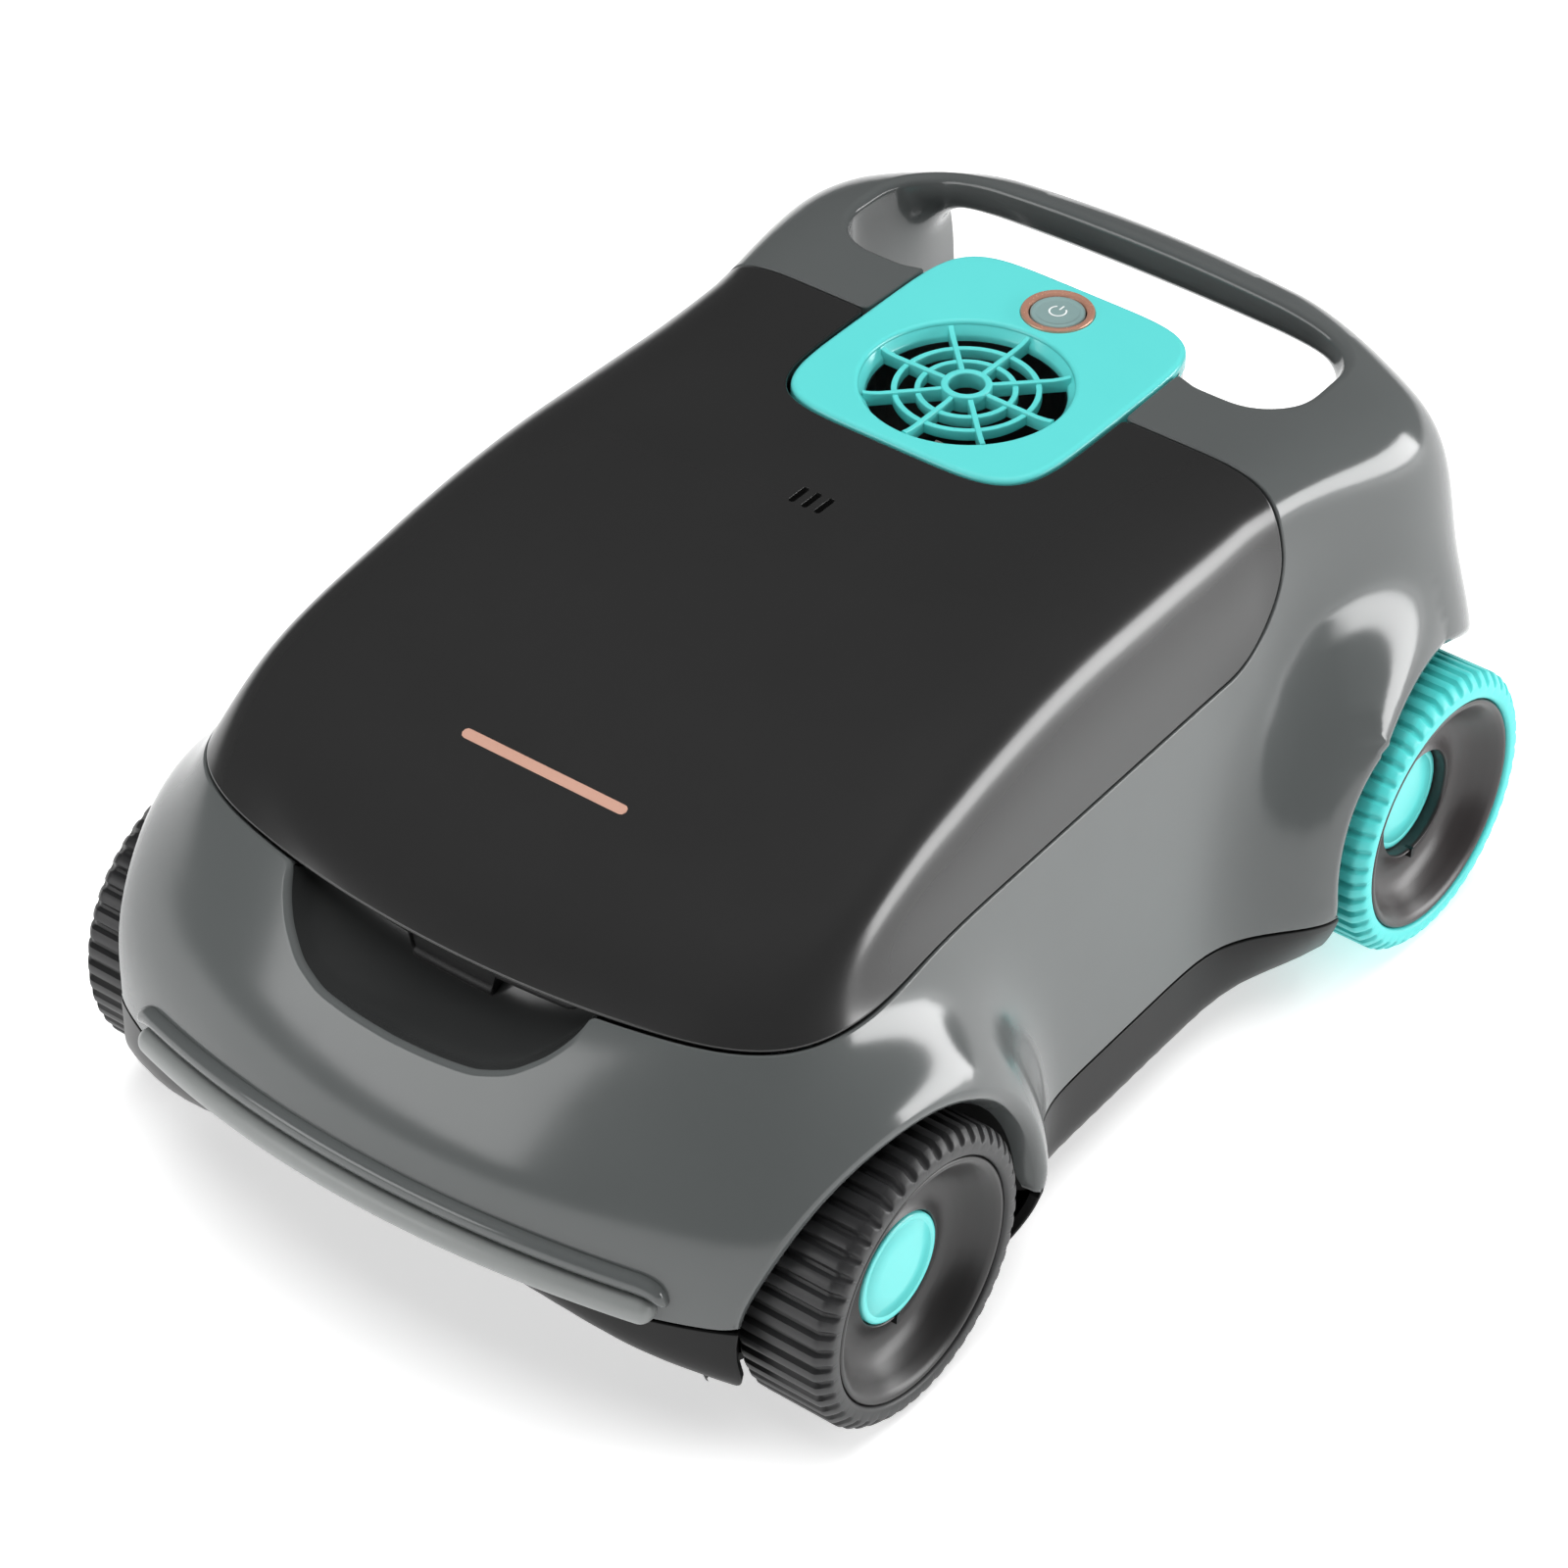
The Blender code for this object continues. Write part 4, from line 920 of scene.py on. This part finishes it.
for i in range(SPOKES):
    turn = 2.0 * pi * i / SPOKES
    along, beside = np.array([cos(turn), sin(turn)]), np.array([-sin(turn), cos(turn)])
    points = []
    for reach, lift in ((7.0, 0.6), (9.0, 0.2), (28.0, 0.0), (31.0, 0.3), (33.6, 0.9)):
        for u, v in section:
            rise = lift if v > low else 0.0
            x, y = reach * along + u * beside
            points.append((x, FAN_Y + y, v + rise))
    faces = grid_faces(5, count, True)
    faces += [tuple(range(count)), tuple(range(5 * count - 1, 4 * count - 1, -1))]
    bars.append(surface("grille_spoke", points, faces, None, 50.0))
grille = joined("jet_grille", [funnel] + bars)
dress(grille, ABS_AQUA, "casing", "panel_gloss_aqua")
dress(panel, ABS_AQUA, "casing", "panel_gloss_aqua", "grille_panel")

centre = (0.0, BUTTON_Y, 0.0)
profile = eased([(9.5, PANEL_TOP - 1.3), (12.2, PANEL_TOP - 1.3), (12.2, PANEL_TOP + 0.5),
                 (11.6, PANEL_TOP + 1.0), (10.4, PANEL_TOP + 0.8), (9.5, PANEL_TOP - 0.1)], 0.25)
ring = turned("button_ring", profile, "Z", centre, 96, 35.0, True)
dress(ring, ROSE_METAL, "casing", "bezel_rose_metal", "button_bezel")
top = PANEL_TOP + 0.2
profile = [(9.1, top - 4.0), (9.1, top - 0.5), (8.95, top - 0.1), (8.6, top + 0.1), (7.4, top + 0.12),
           (7.1, top - 0.1), (6.6, top - 0.15), (4.0, top), (0.0, top + 0.05)]
key = turned("button_key", profile, "Z", centre, 72, 60.0)
dress(key, PC_CLEAR, "button", "button_clear", "power_button")


def symbol():
    """Standby symbol printed on the button: an open ring and a bar."""
    points = []
    faces = []
    turns = np.radians(np.linspace(128.0, 412.0, 49))
    for radius in (2.5, 3.1):
        points += [(radius * cos(t), BUTTON_Y + radius * sin(t), top + 0.16) for t in turns]
    faces += [(i, i + 1, 50 + i, 49 + i) for i in range(48)]
    start = len(points)
    bar = eased([(-0.3, 0.9), (0.3, 0.9), (0.3, 3.6), (-0.3, 3.6)], 0.25, 3)
    points += [(u, BUTTON_Y + v, top + 0.16) for u, v in bar]
    faces.append(tuple(range(start, len(points))))
    return surface("button_symbol", points, faces, np.tile([0.0, 0.0, 1.0], (len(points), 1)))


dress(symbol(), PRINT_WHITE, "button", "button_clear")


# ---------------------------------------------------------------- wheels
RIBS = 48
RIB_STEPS = 12


def ribbed_tyre(name, side, axle, face):
    """Tyre with rounded cross ribs that wrap over the outer shoulder."""
    inner = face - 34.0
    shape = [(inner + 3.0, 41.0, 0.0), (inner + 0.6, 41.4, 0.0), (inner, 42.4, 0.0), (inner, 45.6, 0.0),
             (inner + 0.5, 46.8, 0.4), (inner + 2.0, 49.2, 0.9), (inner + 3.2, 49.9, 1.0),
             (inner + 4.5, 50.0, 1.0), (face - 5.0, 50.0, 1.0), (face - 3.8, 49.9, 1.0),
             (face - 2.9, 49.3, 1.0), (face - 0.9, 47.3, 0.9),
             (face - 0.25, 46.3, 0.5), (face, 45.2, 0.0), (face, 42.6, 0.0), (face - 0.3, 41.8, 0.0),
             (face - 1.2, 41.2, 0.0), (face - 4.0, 41.0, 0.0)]
    count = RIBS * RIB_STEPS
    turns = np.linspace(0.0, 2.0 * pi, count, endpoint=False)
    phase = np.abs(((turns * RIBS / (2.0 * pi)) % 1.0) - 0.5) * 2.0
    groove = ramp(phase, 0.52, 0.78)
    crown = 0.22 * (phase / 0.52).clip(0.0, 1.0) ** 2
    points = []
    for along, radius, cut_in in shape:
        reach = radius - cut_in * (1.75 * groove + crown * (1.0 - groove))
        points.append(np.column_stack([np.full(count, side * along), axle + reach * np.cos(turns),
                                       AXLE_HEIGHT + reach * np.sin(turns)]))
    return surface(name, np.concatenate(points), grid_faces(len(shape), count, True), None, 42.0)


def wheel(end, side_name, side):
    """Tyre, dished hub and hub cap with its marker tab."""
    front = end == "front"
    axle = AXLE_FRONT if front else AXLE_REAR
    face = 148.7 if front else 151.1
    body = "%s_wheel_%s" % (end, side_name)
    tag = end + "_%s_" + side_name
    middle = (0.0, axle, AXLE_HEIGHT)
    tyre = ribbed_tyre("%s_tread_%s" % (end, side_name), side, axle, face)
    rubber, tyre_slot = (RUBBER_BLACK, "tyre_black") if front else (RUBBER_AQUA, "tyre_aqua")
    dress(tyre, rubber, body, tyre_slot, tag % "tyre")
    dish = [(40.9, 6.0), (40.9, 1.6), (40.6, 0.9), (39.9, 0.6), (39.0, 0.9), (37.6, 2.2), (35.4, 5.0),
            (32.6, 8.4), (29.6, 10.9), (26.6, 12.2), (23.8, 12.4), (21.6, 11.7), (20.2, 10.7),
            (19.4, 10.2), (19.0, 10.5),
            (18.9, 11.4), (18.9, 21.9), (4.3, 21.9), (4.3, 30.0), (38.0, 30.0), (40.9, 29.0)]
    dish = [(radius, side * (face - depth)) for radius, depth in dish]
    spun = turned("%s_dish_%s" % (end, side_name), dish, "X", middle, 120, 50.0, True)
    dress(spun, ABS_SATIN if front else ABS_SATIN_WARM, body, "hub_satin_dark", tag % "hub")
    sunk = 9.7 if front else 14.6
    disc = [(18.5, 20.0), (18.5, sunk + 0.7), (18.2, sunk + 0.2), (17.5, sunk), (16.4, sunk),
            (16.2, sunk + 0.15), (15.9, sunk + 0.15), (15.7, sunk - 0.05), (9.0, sunk - 0.25),
            (0.0, sunk - 0.3)]
    disc = [(radius, side * (face - depth)) for radius, depth in disc]
    cap = turned("%s_disc_%s" % (end, side_name), disc, "X", middle, 96, 60.0)
    dress(cap, ABS_AQUA, body, "panel_gloss_aqua", tag % "cap")
    block = eased([(-1.1, -22.3), (1.1, -22.3), (0.8, -18.8), (-0.8, -18.8)], 0.4)
    points = [(side * (face - d), axle + u, AXLE_HEIGHT + v) for d in (12.5, 9.6) for u, v in block]
    size = len(block)
    faces = grid_faces(2, size, True) + [tuple(range(size)), tuple(range(2 * size - 1, size - 1, -1))]
    tab = surface("%s_tab_%s" % (end, side_name), points, faces, None, 40.0)
    dress(tab, NYLON_BLACK, body, "hub_satin_dark")


for side_name, side in (("left", -1), ("right", 1)):
    wheel("front", side_name, side)
    wheel("rear", side_name, side)

# ---------------------------------------------------------------- solids that show as they are
FINISHES = {
    NYLON_BLACK: ("pump_duct", "motor_stand", "filter_basket", "inlet_throat", "control_box",
                  "control_cover"),
    ABS_AQUA: ("basket_handle",),
    RUBBER_SEAL: ("inlet_flap", "charge_socket", "charge_cap", "shaft_seal_left", "shaft_seal_right"),
    STEEL: ("pump_motor", "front_axle_left", "front_axle_right", "rear_shaft_left", "rear_shaft_right",
            "drive_motor_left", "drive_motor_right", "chassis_screw_1", "chassis_screw_2", "chassis_screw_3",
            "chassis_screw_4"),
    ACETAL: ("impeller", "front_bush_left", "front_bush_right"),
    FILTER_MESH: ("filter_screen_left", "filter_screen_right", "filter_screen_rear"),
    BOARD: ("control_board",),
    SLEEVE: ("battery_pack",),
}
for finish, names in FINISHES.items():
    for node_name in names:
        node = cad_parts[node_name]
        node.data.materials.clear()
        node.data.materials.append(finish)
        soften = node.modifiers.new("edge", "BEVEL")
        soften.width = 0.35 * MM
        soften.segments = 2
        soften.limit_method = "ANGLE"
        soften.angle_limit = radians(35.0)

# ---------------------------------------------------------------- floor, light and camera, in metres
FLOOR_REACH = 6.0               # metres from the middle to the floor's edge
corners = [(x * FLOOR_REACH, y * FLOOR_REACH, 0.0) for x, y in ((-1, -1), (1, -1), (1, 1), (-1, 1))]
ground = bpy.data.meshes.new("studio_floor")
ground.from_pydata(corners, [], [(0, 1, 2, 3)])
floor = bpy.data.objects.new("studio_floor", ground)
bpy.context.scene.collection.objects.link(floor)
# Opal acrylic light table: matt, and lit a little from below, so that shadows stay pale
table = bpy.data.materials.new("opal_acrylic_table")
table.use_nodes = True
opal = table.node_tree.nodes["Principled BSDF"]
opal.inputs["Base Color"].default_value = (0.92, 0.92, 0.92, 1.0)
opal.inputs["Roughness"].default_value = 0.9
opal.inputs["Specular IOR Level"].default_value = 0.1
opal.inputs["Emission Color"].default_value = (1.0, 1.0, 1.0, 1.0)
opal.inputs["Emission Strength"].default_value = 0.55
ground.materials.append(table)

bpy.context.scene.view_settings.view_transform = "Standard"
world = bpy.data.worlds.new("studio")
bpy.context.scene.world = world
world.use_nodes = True
sky = world.node_tree
place = add(sky, "ShaderNodeTexCoord", {})
axes = add(sky, "ShaderNodeSeparateXYZ", {}, [("Vector", place, "Generated")])
fade = add(sky, "ShaderNodeMapRange", {"From Min": 0.02, "From Max": 0.42, "To Min": 1.15, "To Max": 0.42},
           [("Value", axes, "Z")])
sky.links.new(fade.outputs["Result"], sky.nodes["Background"].inputs["Strength"])


def softbox(name, place, target, width, height, power, seen):
    """Rectangular lamp aimed at a point; seen says whether gloss mirrors it."""
    lamp = bpy.data.lights.new(name, "AREA")
    lamp.shape = "RECTANGLE"
    lamp.size = width
    lamp.size_y = height
    lamp.energy = power
    made = bpy.data.objects.new(name, lamp)
    made.location = place
    made.rotation_euler = (Vector(target) - Vector(place)).to_track_quat("-Z", "Y").to_euler()
    made.visible_glossy = seen
    bpy.context.scene.collection.objects.link(made)


softbox("overhead", (0.0, 0.0, 2.2), (0.0, 0.0, 0.0), 2.4, 2.4, 62.0, False)
softbox("side_right", (1.6, 1.3, 0.38), (0.0, 0.0, 0.12), 1.7, 0.6, 34.0, True)
softbox("front_left", (-0.9, -1.7, 0.7), (0.0, 0.0, 0.1), 1.4, 0.8, 12.0, True)

view = bpy.data.cameras.new("studio_camera")
view.lens = 124.84
view.sensor_width = 36.0
view.clip_start = 0.05
camera = bpy.data.objects.new("studio_camera", view)
camera.location = (0.83347, -1.07707, 1.17350)
camera.rotation_euler = (radians(51.48), 0.0, radians(37.74))
bpy.context.scene.collection.objects.link(camera)
bpy.context.scene.camera = camera
